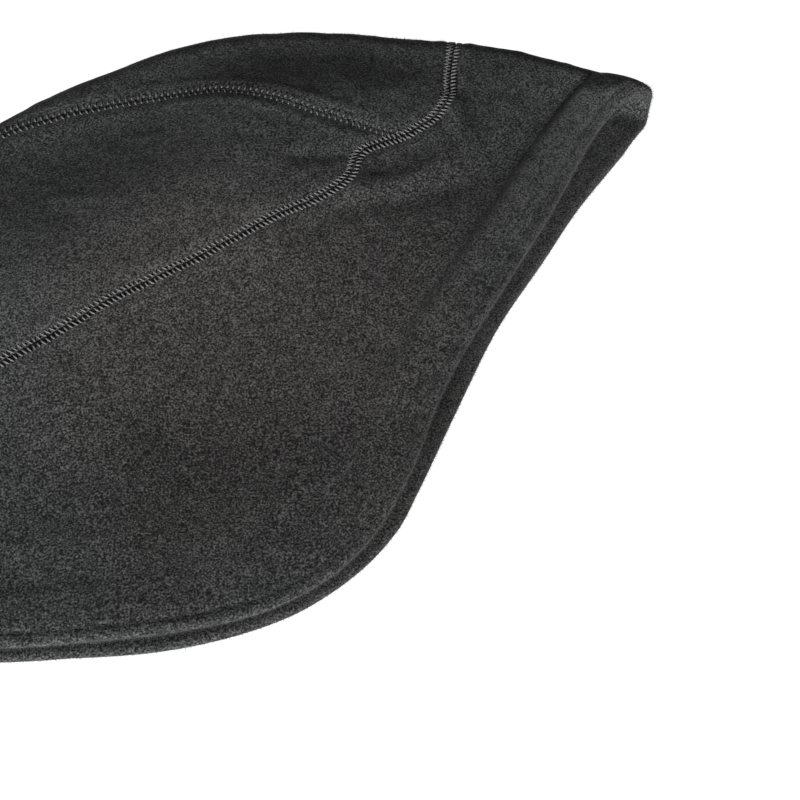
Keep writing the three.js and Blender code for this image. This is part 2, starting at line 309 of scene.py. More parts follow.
def smooth_step(value: np.ndarray, start: float, end: float) -> np.ndarray:
    """Rises smoothly from 0 at start to 1 at end."""
    t = np.clip((value - start) / (end - start), 0, 1)
    return t * t * (3 - 2 * t)


def bell(value: np.ndarray, middle: float, width: float) -> np.ndarray:
    """A smooth bump of height 1 at middle."""
    return np.exp(-(((value - middle) / width) ** 2))


def unit(vectors: np.ndarray) -> np.ndarray:
    """Returns the vectors at length 1."""
    return vectors / np.linalg.norm(vectors, axis=-1, keepdims=True)


def spline(points: np.ndarray, samples: int) -> np.ndarray:
    """Samples a centripetal Catmull-Rom curve evenly over its spans.

    Args:
        points: The points that the curve runs through, one a row.
        samples: How many steps to take over the whole curve.

    Returns:
        samples + 1 points of the curve.
    """
    ends = (2 * points[0] - points[1], 2 * points[-1] - points[-2])
    all_points = np.vstack([ends[0], points, ends[1]])
    place = np.linspace(0, len(points) - 1, samples + 1)
    span = np.minimum(place.astype(int), len(points) - 2)
    t = (place - span)[:, None]
    p0, p1, p2, p3 = (all_points[span + k] for k in range(4))
    gaps = [np.sqrt(np.linalg.norm(b - a, axis=1))[:, None] for a, b in ((p0, p1), (p1, p2), (p2, p3))]
    g0, g1, g2 = gaps
    m1 = ((p1 - p0) / g0 - (p2 - p0) / (g0 + g1) + (p2 - p1) / g1) * g1
    m2 = ((p2 - p1) / g1 - (p3 - p1) / (g1 + g2) + (p3 - p2) / g2) * g1
    square = -3 * p1 + 3 * p2 - 2 * m1 - m2
    cube = 2 * p1 - 2 * p2 + m1 + m2
    return p1 + m1 * t + square * t**2 + cube * t**3


def distance_to(line: np.ndarray, points: np.ndarray) -> np.ndarray:
    """Returns each point's distance to a densely sampled line."""
    nearest = np.zeros(len(points))
    for start in range(0, len(points), CHUNK):
        some = points[start : start + CHUNK]
        square = (some**2).sum(axis=1)[:, None] + (line**2).sum(axis=1)[None, :] - 2 * some @ line.T
        nearest[start : start + CHUNK] = np.sqrt(np.maximum(square.min(axis=1), 0))
    return nearest


class PlanCurve:
    """A smooth line on the pattern, read by its share of length."""

    def __init__(self, rows: tuple[PlanRow, ...]) -> None:
        """Samples the line.

        Args:
            rows: The places that the line runs through.
        """
        self.points = spline(np.array([(row.x, row.y) for row in rows], float), CURVE_SAMPLES)
        steps = np.linalg.norm(np.diff(self.points, axis=0), axis=1)
        lengths = np.concatenate([[0], np.cumsum(steps)])
        self.length = float(lengths[-1])
        self.shares = lengths / self.length
        marks = [i for i, row in enumerate(rows) if row.corner]
        self.corners = [float(self.shares[round(i * CURVE_SAMPLES / (len(rows) - 1))]) for i in marks]

    def at(self, shares: np.ndarray) -> np.ndarray:
        """Returns the line's points at these shares of its length."""
        return np.stack([np.interp(shares, self.shares, self.points[:, k]) for k in (0, 1)], axis=1)

    def inward(self, shares: np.ndarray) -> np.ndarray:
        """Returns the direction square to the line, to its right as it runs."""
        step = INWARD_STEP / self.length
        along = unit(self.at(np.minimum(shares + step, 1)) - self.at(np.maximum(shares - step, 0)))
        return np.stack([along[:, 1], -along[:, 0]], axis=1)


class UnevenField:
    """Smooth unevenness in space, the same on each run."""

    def __init__(self, seed: int, size: int = 48) -> None:
        """Draws the field's values.

        Args:
            seed: What the values are drawn from.
            size: How many cells the field has each way before it repeats.
        """
        self.values = np.random.default_rng(seed).uniform(-1, 1, (size, size, size))
        self.size = size

    def at(self, points: np.ndarray, cell: float) -> np.ndarray:
        """Reads the field.

        Args:
            points: Points in millimetres.
            cell: The size of its lumps, in millimetres.

        Returns:
            A value from -1 to 1 for each point.
        """
        scaled = points / cell
        corner = np.floor(scaled).astype(int)
        share = scaled - corner
        share = share * share * (3 - 2 * share)
        total = np.zeros(len(points))
        for step in itertools.product((0, 1), repeat=3):
            index = (corner + step) % self.size
            weight = np.prod(np.where(np.array(step) == 1, share, 1 - share), axis=1)
            total += weight * self.values[index[:, 0], index[:, 1], index[:, 2]]
        return total


@dataclass
class FoldPlace:
    """What the fold is like next to each of some places: one value or row for each."""

    station: np.ndarray
    point: np.ndarray
    outward: np.ndarray
    radius: np.ndarray
    gore: np.ndarray
    inside: np.ndarray


class FoldLine:
    """The rounded fold that joins the two layers from brow to nape."""

    def __init__(self) -> None:
        """Samples the fold's table."""
        with_radius = spline(np.array([(r.x, r.y, r.radius) for r in FOLD], float), CURVE_SAMPLES)
        with_gore = spline(np.array([(r.x, r.y, r.gore) for r in FOLD], float), CURVE_SAMPLES)
        self.point = with_radius[:, :2]
        along = np.gradient(self.point, axis=0)
        self.outward = unit(np.stack([along[:, 1], -along[:, 0]], axis=1))
        self.radius = with_radius[:, 2]
        self.gore = with_gore[:, 2]

    def at(self, station: np.ndarray, places: np.ndarray | None = None) -> FoldPlace:
        """Reads the fold.

        Args:
            station: Where along the fold, in samples, fractions included.
            places: The places that are measured from it, if any.

        Returns:
            The fold there, with how far inside its line each place lies.
        """
        samples = np.arange(CURVE_SAMPLES + 1)
        point = np.stack([np.interp(station, samples, self.point[:, k]) for k in (0, 1)], axis=1)
        outward = unit(np.stack([np.interp(station, samples, self.outward[:, k]) for k in (0, 1)], axis=1))
        radius = np.interp(station, samples, self.radius)
        gore = np.interp(station, samples, self.gore)
        gap = np.zeros_like(point) if places is None else point - places
        inside = np.maximum(0, (gap * outward).sum(axis=1))
        return FoldPlace(station, point, outward, radius, gore, inside)

    def near(self, places: np.ndarray) -> FoldPlace:
        """Returns the fold nearest to each place."""
        station = np.zeros(len(places))
        coarse = self.point[::COARSE_STEP]
        for start in range(0, len(places), CHUNK):
            some = places[start : start + CHUNK]
            square = ((some[:, None, :] - coarse[None]) ** 2).sum(axis=2)
            station[start : start + CHUNK] = square.argmin(axis=1) * COARSE_STEP
        for reach in REFINING_REACHES:
            low = np.clip(station - reach, 0, CURVE_SAMPLES)
            high = np.clip(station + reach, 0, CURVE_SAMPLES)
            a = self.at(low).point
            run = self.at(high).point - a
            share = ((places - a) * run).sum(axis=1) / (run**2).sum(axis=1)
            station = np.clip(low + share * (high - low), 0, CURVE_SAMPLES)
        return self.at(station, places)


def inside_at(cloth: np.ndarray, radius: np.ndarray) -> np.ndarray:
    """Returns how far inside the fold line, in plan, the cloth is at this distance along it."""
    arc = radius * QUARTER_TURN
    turned = radius * (1 - np.cos(np.minimum(cloth, arc) / radius))
    return np.where(cloth < arc, turned, radius + cloth - arc)


def cloth_at(inside: np.ndarray, radius: np.ndarray) -> np.ndarray:
    """Returns how far along the cloth from the fold line a place is that lies this far inside it."""
    turned = radius * np.arccos(1 - np.minimum(inside, radius) / radius)
    return np.where(inside < radius, turned, inside - radius + radius * QUARTER_TURN)


@dataclass
class CapForm:
    """The cap's form: turns a place on the pattern, a layer and a depth into a point in space."""

    cloth: float = 1.8
    hem_width: float = 18.5
    hem_thickness: float = 3.6
    hem_proud: float = 0.7
    fold_rise: float = 30.0
    fold: FoldLine = field(default_factory=FoldLine)

    def __post_init__(self) -> None:
        """Finds the seams and edges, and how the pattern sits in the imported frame."""
        self.seam = PlanCurve(BAND_SEAM)
        self.edges = {Layer.UPPER: PlanCurve(UPPER_EDGE), Layer.LOWER: PlanCurve(LOWER_EDGE)}
        outline = np.vstack([self.fold.point, *(edge.points for edge in self.edges.values())])
        middle = (outline.min(axis=0) + outline.max(axis=0)) / 2
        low, high = (np.array(corner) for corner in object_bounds())
        self.origin = (low + high)[:2] / 2 / MM - middle

    def free_height(self, places: np.ndarray) -> np.ndarray:
        """Returns the upper layer's height away from the fold."""
        rows = np.array([(row.x, row.y, row.z) for row in HEIGHTS])
        distance = np.linalg.norm(places[:, None, :] - rows[None, :, :2], axis=2)
        weight = np.exp(-0.5 * (distance / HEIGHT_REACH) ** 2)
        return (weight * rows[:, 2]).sum(axis=1) / weight.sum(axis=1)

    def crease_rise(self, places: np.ndarray) -> np.ndarray:
        """Returns how far the long soft folds lift or sink the upper layer."""
        rise = np.zeros(len(places))
        for crease in CREASES:
            distance = np.full(len(places), np.inf)
            for start, end in itertools.pairwise(np.array(crease.line, float)):
                run = end - start
                along = np.clip(((places - start) @ run) / (run @ run), 0, 1)
                gap = places - start - along[:, None] * run
                distance = np.minimum(distance, np.linalg.norm(gap, axis=1))
            rise += crease.rise * bell(distance, 0, crease.width)
        return rise

    def place(self, places: np.ndarray, layer: Layer, depth: np.ndarray, raised: np.ndarray) -> np.ndarray:
        """Finds points of the cap.

        Args:
            places: Places on the pattern, in millimetres.
            layer: The layer that they are on.
            depth: How deep each is under the layer's outer face, less than 0 where it stands out.
            raised: How far the whole wall moves in on the table side, so that the cap still lies flat.

        Returns:
            The points, in millimetres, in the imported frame's place.
        """
        side = layer.value
        near = self.fold.near(places)
        radius = near.radius
        turned = near.inside < radius
        angle = np.arccos(np.clip(1 - near.inside / radius, -1, 1))
        sine = np.sin(np.where(turned, angle, QUARTER_TURN))
        free = np.ones(len(places)) if layer is Layer.UPPER else 1 - sine
        sunk = depth + raised * (1 - free)
        sunk = np.where(sunk < 0, sunk * free, sunk)
        shift = np.where(turned, near.inside - radius + (radius - sunk) * np.cos(angle), 0)
        rising = smooth_step(near.inside - radius, 0, self.fold_rise)
        top = 2 * radius + (self.free_height(places) + self.crease_rise(places) - 2 * radius) * rising
        flat = top - sunk if layer is Layer.UPPER else sunk
        z = np.where(turned, radius + side * (radius - sunk) * sine, flat)
        return np.column_stack([places + near.outward * shift[:, None] + self.origin, z])

    def end_on_fold(self, line: np.ndarray, shares: np.ndarray) -> np.ndarray:
        """Puts both ends of a line on the fold and lets the change fade out along it."""
        ends = line[[0, -1]]
        return self.pull_ends(line, self.fold.near(ends).point, shares)

    def pull_ends(self, line: np.ndarray, ends: np.ndarray, shares: np.ndarray) -> np.ndarray:
        """Moves a line's two ends to these places and lets the change fade out along it."""
        pulls = ends - line[[0, -1]]
        from_start = ((1 - shares) ** END_PULL)[:, None]
        from_end = (shares**END_PULL)[:, None]
        return line + pulls[0] * from_start + pulls[1] * from_end

    def row_between(
        self, start: np.ndarray, end: np.ndarray, share: float, shares: np.ndarray
    ) -> np.ndarray:
        """Makes a row between two lines whose ends lie on the fold. Its own ends follow the fold too.

        Args:
            start: The line at share 0.
            end: The line at share 1.
            share: How far across the row lies.
            shares: Each point's share of the lines' length.

        Returns:
            The row's places on the pattern.
        """
        row = start * (1 - share) + end * share
        a, b = (self.fold.near(line[[0, -1]]).station for line in (start, end))
        return self.pull_ends(row, self.fold.at(a * (1 - share) + b * share).point, shares)


@dataclass
class Stations:
    """Where the sections stand along the band seam, as shares of its length."""

    form: CapForm
    fold_steps: int = 16
    front_steps: int = 50
    side_steps: int = 200
    back_steps: int = 8

    def __post_init__(self) -> None:
        """Works out the shares, denser where the cloth turns round the fold."""
        seam = self.form.seam
        front, back = seam.corners
        radius = self.form.fold.near(seam.points[:1]).radius[0]
        fold_share = radius / seam.length
        turn = np.linspace(0, QUARTER_TURN, self.fold_steps + 1)
        parts = [
            fold_share * (1 - np.cos(turn)),
            np.linspace(fold_share, front, self.front_steps + 1)[1:],
            np.linspace(front, back, self.side_steps + 1)[1:],
            np.linspace(back, 1, self.back_steps + 1)[1:],
        ]
        self.shares = np.concatenate(parts)
        self.front = self.fold_steps + self.front_steps
        self.back = self.front + self.side_steps
        self.line = seam.at(self.shares)
        self.gore = self.lay_gore()
        self.crown_seam = self.gore[:, -1]

    def lay_gore(self) -> np.ndarray:
        """Lays out the gore's runs from front to back, each from the fold to the crown seam."""
        fold = self.form.fold
        start = self.line[: self.front + 1]
        first = fold.near(start)
        corner = fold.near(start[-1:])
        end = fold.near(self.line[-1:]).station[0]
        share = cloth_at(first.inside, first.radius) / cloth_at(corner.inside, corner.radius)
        runs = [start]
        for step in np.linspace(0, 1, self.side_steps + 1)[1:]:
            near = fold.at(first.station * (1 - step) + end * step)
            inside = inside_at(share * near.gore, near.radius)
            runs.append(near.point - near.outward * inside[:, None])
        return np.array(runs)


def linear(hex_colour: str) -> tuple[float, float, float, float]:
    """Turns an sRGB hex colour into linear red, green, blue and alpha."""
    parts = [int(hex_colour[i : i + 2], 16) / 255 for i in (1, 3, 5)]
    red, green, blue = (c / 12.92 if c <= 0.04045 else ((c + 0.055) / 1.055) ** 2.4 for c in parts)
    return red, green, blue, 1.0


def add_node(
    tree: bpy.types.NodeTree,
    kind: str,
    settings: dict[str | int, object] | None = None,
    links: dict[str | int, bpy.types.NodeSocket] | None = None,
) -> bpy.types.Node:
    """Adds a node to a tree.

    Args:
        tree: The material's or modifier's node tree.
        kind: The node's Blender type.
        settings: Values by property name, or by input name or number for a socket.
        links: The socket that feeds each input, by the input's name or number.

    Returns:
        The new node.
    """
    node = tree.nodes.new(kind)
    for name, value in (settings or {}).items():
        if isinstance(name, str) and hasattr(node, name):
            setattr(node, name, value)
        else:
            node.inputs[name].default_value = value
    for name, socket in (links or {}).items():
        tree.links.new(socket, node.inputs[name])
    return node


def new_material(name: str) -> tuple[bpy.types.Material, bpy.types.NodeTree]:
    """Returns an empty node material and its tree."""
    material = bpy.data.materials.new(name)
    material.use_nodes = True
    material.node_tree.nodes.clear()
    return material, material.node_tree


@dataclass(frozen=True)
class FleeceFinish:
    """Brushed polyester fleece: a short matt nap in small clumps, with painted shade between them and pale
    tips that are partly painted highlight.
    """

    name: str = "charcoal_polyester_fleece"
    # The painted shade between tufts, the nap, and its pale tips with painted highlight, then the two casts
    # over them.
    painted_shade_hex: str = "#0a0a0a"
    body_hex: str = "#353535"
    tip_and_painted_highlight_hex: str = "#5a5959"
    cool_hex: str = "#f6fcfa"
    warm_hex: str = "#fff7f5"
    # The sizes of tufts, of fibres and of rubbed patches, and those patches' share.
    clump_mm: float = 0.85
    grain_mm: float = 0.56
    mottle_mm: float = 3.2
    mottle_share: float = 0.14
    # The warm patch: its edge's unevenness, its middle, its size, and where in that it fades.
    patch_mm: float = 40.0
    warm_at_mm: tuple[float, float, float] = (8.0, -16.0, 15.0)
    warm_reach_mm: float = 78.0
    warm_from: float = 0.8
    warm_to: float = 1.6
    # The fibres' share of the nap's height, and how far the painted light and shade move the nap's colour.
    grain_share: float = 0.8
    painted_light_share: float = 0.045
    # The heights in the nap at which each colour is full: painted shade, nap, then pale tips with painted
    # highlight.
    painted_shade_at: float = 0.37
    body_at: float = 0.5
    tip_and_painted_highlight_at: float = 0.62
    nap_height_mm: float = 0.14
    sheen: float = 0.05
    sheen_roughness: float = 0.5

    def build(self) -> bpy.types.Material:
        """Returns the material. Object coordinates carry it over every seam without a break."""
        material, tree = new_material(self.name)
        place = add_node(tree, "ShaderNodeTexCoord").outputs["Object"]
        # The eye sees small soft tufts, a little under a millimetre apart; the dark gaps between them are
        # painted shade.
        clumps = add_node(
            tree,
            "ShaderNodeTexVoronoi",
            {"feature": "SMOOTH_F1", "Scale": 1 / (self.clump_mm * MM), "Smoothness": 0.4},
            {"Vector": place},
        )
        grain = add_node(
            tree,
            "ShaderNodeTexNoise",
            {"Scale": 1 / (self.grain_mm * MM), "Detail": 1.0, "Roughness": 0.5},
            {"Vector": place},
        )
        tuft = add_node(
            tree,
            "ShaderNodeMapRange",
            {"From Min": 0.1, "From Max": 0.8, "To Min": 0.75, "To Max": 0.25},
            {"Value": clumps.outputs["Distance"]},
        )
        height = add_node(
            tree,
            "ShaderNodeMix",
            {"data_type": "FLOAT", "Factor": self.grain_share},
            {2: tuft.outputs[0], 3: grain.outputs["Fac"]},
        )
        # A few millimetres wide, some patches look rubbed and others brushed up.
        mottle = add_node(
            tree,
            "ShaderNodeTexNoise",
            {"Scale": 1 / (self.mottle_mm * MM), "Detail": 2.0, "Roughness": 0.6},
            {"Vector": place},
        )
        uneven_height = add_node(
            tree,
            "ShaderNodeMix",
            {"data_type": "FLOAT", "Factor": self.mottle_share},
            {2: height.outputs[0], 3: mottle.outputs["Fac"]},
        )
        # Painted light and shade: the stored value moves the nap up its colour ramp for a painted highlight
        # and down it for painted shade.
        painted_light_shade = add_node(tree, "ShaderNodeAttribute", {"attribute_name": PAINTED_NAP_LIGHT_AND_SHADE})
        shown = add_node(
            tree,
            "ShaderNodeMath",
            {"operation": "MULTIPLY_ADD", 1: self.painted_light_share},
            {0: painted_light_shade.outputs["Fac"], 2: uneven_height.outputs[0]},
        )
        # The nap's height picks its colour: near black painted shade in the gaps, and pale tips that are
        # partly painted highlight.
        nap_colour_and_painted_shade = add_node(tree, "ShaderNodeValToRGB", links={"Fac": shown.outputs[0]})
        ramp = nap_colour_and_painted_shade.color_ramp
        ramp.elements[0].position = self.painted_shade_at
        ramp.elements[0].color = linear(self.painted_shade_hex)
        ramp.elements[1].position = self.tip_and_painted_highlight_at
        ramp.elements[1].color = linear(self.tip_and_painted_highlight_hex)
        ramp.elements.new(self.body_at).color = linear(self.body_hex)
        # A faint warm patch over the ear lies on a slightly cool charcoal.
        patches = add_node(
            tree,
            "ShaderNodeTexNoise",
            {"Scale": 1 / (self.patch_mm * MM), "Detail": 1.0, "Roughness": 0.4},
            {"Vector": place},
        )
        away = add_node(
            tree,
            "ShaderNodeVectorMath",
            {"operation": "DISTANCE", 1: tuple(v * MM for v in self.warm_at_mm)},
            {0: place},
        )
        uneven = add_node(
            tree,
            "ShaderNodeMath",
            {"operation": "MULTIPLY_ADD", 1: self.warm_reach_mm * MM},
            {0: patches.outputs["Fac"], 2: away.outputs["Value"]},
        )
        spread = add_node(
            tree,
            "ShaderNodeMapRange",
            {
                "From Min": self.warm_reach_mm * MM * self.warm_from,
                "From Max": self.warm_reach_mm * MM * self.warm_to,
                "To Min": 1.0,
                "To Max": 0.0,
            },
            {"Value": uneven.outputs[0]},
        )
        hue = add_node(
            tree,
            "ShaderNodeMix",
            {"data_type": "RGBA", 6: linear(self.cool_hex), 7: linear(self.warm_hex)},
            {"Factor": spread.outputs[0]},
        )
        colour = add_node(
            tree,
            "ShaderNodeMix",
            {"data_type": "RGBA", "blend_type": "MULTIPLY", "Factor": 1.0},
            {6: nap_colour_and_painted_shade.outputs["Color"], 7: hue.outputs[2]},
        )
        # Low light catches the tufts one by one, and the cloth stays matt with a weak bloom at its rim.
        bump = add_node(
            tree,
            "ShaderNodeBump",
            {"Strength": 1.0, "Distance": self.nap_height_mm * MM},
            {"Height": height.outputs[0]},
        )
        shader = add_node(
            tree,
            "ShaderNodeBsdfPrincipled",
            {
                "Roughness": 0.95,
                "Specular IOR Level": 0.2,
                "Sheen Weight": self.sheen,
                "Sheen Roughness": self.sheen_roughness,
            },
            {"Base Color": colour.outputs[2], "Normal": bump.outputs["Normal"]},
        )
        add_node(tree, "ShaderNodeOutputMaterial", links={"Surface": shader.outputs["BSDF"]})
        return material


@dataclass(frozen=True)
class ThreadFinish:
    """Textured polyester sewing thread: spun plies with a soft shine, lighter than the fleece."""

    name: str
    shade_hex: str
    light_hex: str
    ply_mm: float = 0.5
    ply_depth_mm: float = 0.08

    def build(self) -> bpy.types.Material:
        """Returns the material, with its light and dark along the plies."""
        material, tree = new_material(self.name)
        place = add_node(tree, "ShaderNodeTexCoord").outputs["Object"]
        # The eye sees a twist of lighter and darker strands, half a millimetre each, and a soft shine.
        plies = add_node(
            tree,
            "ShaderNodeTexNoise",
            {"Scale": 1 / (self.ply_mm * MM), "Detail": 2.0},
            {"Vector": place},
        )
        colour = add_node(
            tree,
            "ShaderNodeMix",
            {"data_type": "RGBA", 6: linear(self.shade_hex), 7: linear(self.light_hex)},
            {"Factor": plies.outputs["Fac"]},
        )
        bump = add_node(
            tree,
            "ShaderNodeBump",
            {"Strength": 0.5, "Distance": self.ply_depth_mm * MM},
            {"Height": plies.outputs["Fac"]},
        )
        shader = add_node(
            tree,
            "ShaderNodeBsdfPrincipled",
            {"Roughness": 0.55, "Specular IOR Level": 0.5},
            {"Base Color": colour.outputs[2], "Normal": bump.outputs["Normal"]},
        )
        add_node(tree, "ShaderNodeOutputMaterial", links={"Surface": shader.outputs["BSDF"]})
        return material


def new_piece(name: str, points: np.ndarray, edges: np.ndarray, faces: np.ndarray) -> bpy.types.Object:
    """Makes a piece at the origin.

    Args:
        name: The piece's name.
        points: Its points, in millimetres.
        edges: Pairs of points, where it has loose edges.
        faces: Points round each face.

    Returns:
        The new object.
    """
    mesh = bpy.data.meshes.new(name)
    mesh.from_pydata((points * MM).tolist(), edges.tolist(), faces.tolist())
    mesh.validate()
    mesh.polygons.foreach_set("use_smooth", np.ones(len(mesh.polygons), bool))
    piece = bpy.data.objects.new(name, mesh)
    bpy.context.scene.collection.objects.link(piece)
    return piece


def set_attribute(piece: bpy.types.Object, name: str, values: np.ndarray) -> None:
    """Stores a number or vector for each of a piece's points."""
    vector = values.ndim == 2
    data = piece.data.attributes.new(name, "FLOAT_VECTOR" if vector else "FLOAT", "POINT").data
    data.foreach_set("vector" if vector else "value", values.astype(float).ravel())


def keep_above_table(piece: bpy.types.Object) -> None:
    """Lifts the points of a piece that lie under the table's top to it."""
    flat = np.empty(len(piece.data.vertices) * 3)
    piece.data.vertices.foreach_get("co", flat)
    flat[2::3] = np.maximum(flat[2::3], 0)
    piece.data.vertices.foreach_set("co", flat)


def body_from_sections(name: str, sections: np.ndarray, ring: bool) -> bpy.types.Object:
    """Makes a closed body from sections.

    Args:
        name: The piece's name.
        sections: Points by section and by place round it. Each section is a closed chain.
        ring: Whether the last section joins up with the first. Otherwise both ends get a cap.

    Returns:
        The new object, smooth shaded, with its faces pointing out.
    """
    count, size = sections.shape[:2]
    spans = count if ring else count - 1
    here = (np.arange(spans) * size)[:, None]
    following = ((np.arange(spans) + 1) % count * size)[:, None]
    j = np.arange(size)
    k = (j + 1) % size
    quads = np.stack([here + j, here + k, following + k, following + j], axis=2).reshape(-1, 4)
    if not ring:
        half = np.arange(size // 2 - 1)
        start_cap = np.stack([half, size - 1 - half, size - 2 - half, half + 1], axis=1)
        quads = np.vstack([quads, start_cap, (count - 1) * size + start_cap[:, ::-1]])
    points = sections.reshape(-1, 3)
    a, b, c, d = (points[quads[:, i]] for i in range(4))
    volume = (a * np.cross(b, c)).sum() + (a * np.cross(c, d)).sum()
    if volume < 0:
        quads = quads[:, ::-1]
    return new_piece(name, points, np.empty((0, 2), int), quads)


def run_tree(piece: bpy.types.Object, tree: bpy.types.NodeTree, values: dict[str, object]) -> None:
    """Runs a geometry tree on a piece and keeps the result as its plain mesh.

    Args:
        piece: The piece with the mesh that the tree starts from.
        tree: The tree.
        values: Values by the tree's input names.
    """
    modifier = piece.modifiers.new(tree.name, "NODES")
    modifier.node_group = tree
    for socket in tree.interface.items_tree:
        if socket.name in values:
            modifier[socket.identifier] = values[socket.name]
    depsgraph = bpy.context.evaluated_depsgraph_get()
    mesh = bpy.data.meshes.new_from_object(piece.evaluated_get(depsgraph))
    piece.modifiers.clear()
    piece.data = mesh


def new_tree(name: str, inputs: dict[str, str]) -> tuple[bpy.types.NodeTree, bpy.types.Node]:
    """Makes an empty geometry tree.

    Args:
        name: The tree's name.
        inputs: Its inputs' socket types by name. The geometry comes first by itself.

    Returns:
        The tree and its input node.
    """
    tree = bpy.data.node_groups.new(name, "GeometryNodeTree")
    tree.interface.new_socket("Geometry", in_out="INPUT", socket_type="NodeSocketGeometry")
    tree.interface.new_socket("Geometry", in_out="OUTPUT", socket_type="NodeSocketGeometry")
    for socket, kind in inputs.items():
        tree.interface.new_socket(socket, in_out="INPUT", socket_type=kind)
    return tree, add_node(tree, "NodeGroupInput")


def end_tree(
    tree: bpy.types.NodeTree, instances: bpy.types.NodeSocket, finish: bpy.types.NodeSocket
) -> None:
    """Ends a geometry tree: real mesh in place of instances, smooth, in its material."""
    real = add_node(tree, "GeometryNodeRealizeInstances", links={"Geometry": instances})
    smooth = add_node(tree, "GeometryNodeSetShadeSmooth", links={"Geometry": real.outputs["Geometry"]})
    dressed = add_node(
        tree,
        "GeometryNodeSetMaterial",
        links={"Geometry": smooth.outputs["Geometry"], "Material": finish},
    )
    add_node(tree, "NodeGroupOutput", links={"Geometry": dressed.outputs["Geometry"]})


@dataclass
class Panels:
    """What the crown and the ear band share: how seams and slack shape the cloth, and its finish.

    Sizes are in millimetres. A pair named fades says where a form starts and where it is full.
    """

    form: CapForm
    stations: Stations
    fleece: bpy.types.Material
    # Beside a seam: a hairline gap, cloth pressed down by the stitches and a puffed strip beyond it.
    seam_gap: float = 0.06
    press: float = 0.3
    press_width: float = 2.4
    puff: float = 0.25
    puff_at: float = 4.6
    puff_width: float = 1.9
    # The slack cloth's small lumps, of three sizes.
    lump_sizes: tuple[float, ...] = (3.2, 8.0, 19.0)
    lump_heights: tuple[float, ...] = (0.11, 0.22, 0.45)
    seed: int = 11
    # How far away a ridge is measured from, how high it stands for full painted light, and at most.
    ridge_reach: float = 18.0
    ridge_rise: float = 3.5
    ridge_most: float = 0.8
    ridge_fades: tuple[float, float] = (15.0, 40.0)

    def __post_init__(self) -> None:
        """Draws the unevenness and lays the seams' lines on both layers."""
        self.uneven = UnevenField(self.seed)
        plan = np.vstack([self.stations.line, self.stations.crown_seam])
        none = np.zeros(len(plan))
        self.seams = {layer: self.form.place(plan, layer, none, none) for layer in Layer}

    def rise(self, points: np.ndarray, layer: Layer) -> np.ndarray:
        """Returns how far the cloth stands out at points of its plain face, in millimetres."""
        distance = distance_to(self.seams[layer], points)
        rise = self.puff * bell(distance, self.puff_at, self.puff_width)
        rise = rise - self.press * bell(distance, 0, self.press_width)
        for size, height in zip(self.lump_sizes, self.lump_heights):
            rise = rise + height * self.uneven.at(points, size)
        return rise

    def outer_face(self, places: np.ndarray, layer: Layer, raised: np.ndarray | None = None) -> np.ndarray:
        """Finds the outer face.

        Args:
            places: Places on the pattern, in rows.
            layer: The layer that they are on.
            raised: How far a hem stands out there, if any.

        Returns:
            The face's points, in the same rows.
        """
        flat = places.reshape(-1, 2)
        none = np.zeros(len(flat))
        proud = none if raised is None else raised.reshape(-1)
        plain = self.form.place(flat, layer, none, none)
        depth = -self.rise(plain, layer) - proud
        return self.form.place(flat, layer, depth, proud).reshape(*places.shape[:-1], 3)

    def inner_face(self, places: np.ndarray, layer: Layer) -> np.ndarray:
        """Finds the inner face at these places."""
        flat = places.reshape(-1, 2)
        none = np.zeros(len(flat))
        return self.form.place(flat, layer, none + self.form.cloth, none).reshape(*places.shape[:-1], 3)

    def painted_light_by_bend(self, piece: bpy.types.Object) -> np.ndarray:
        """Returns the painted light and shade of the nap at each point: a painted highlight on a ridge, and
        painted shade, less than 0, in a hollow.

        Each place's height is set against the mean of four places round it.
        """
        flat = np.empty(len(piece.data.vertices) * 3)
        piece.data.vertices.foreach_get("co", flat)
        places = flat.reshape(-1, 3)[:, :2] / MM - self.form.origin
        turns = (np.arange(4) + 0.5) * QUARTER_TURN
        ring = [places + self.ridge_reach * np.array([math.cos(a), math.sin(a)]) for a in turns]
        around = np.mean([self.form.free_height(some) for some in ring], axis=0)
        # Higher than its surroundings gets a painted highlight, lower gets painted shade.
        bend = (self.form.free_height(places) - around) / self.ridge_rise
        inside = self.form.fold.near(places).inside
        return np.clip(bend, -self.ridge_most, self.ridge_most) * smooth_step(inside, *self.ridge_fades)

    def finish(self, piece: bpy.types.Object, *nodes: str, painted_light_shade: np.ndarray | float = 0.0) -> None:
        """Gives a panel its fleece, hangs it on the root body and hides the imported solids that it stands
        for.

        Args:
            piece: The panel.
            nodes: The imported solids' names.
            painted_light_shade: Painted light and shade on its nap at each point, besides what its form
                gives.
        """
        # Stores the nap's painted light and shade: highlights on ridges, shade in hollows, and what is
        # given besides.
        set_attribute(piece, PAINTED_NAP_LIGHT_AND_SHADE, self.painted_light_by_bend(piece) + painted_light_shade)
        piece.data.materials.append(self.fleece)
        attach(piece, "root")
        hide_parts(*nodes)
        LOG.info("%s: %d faces", piece.name, len(piece.data.polygons))


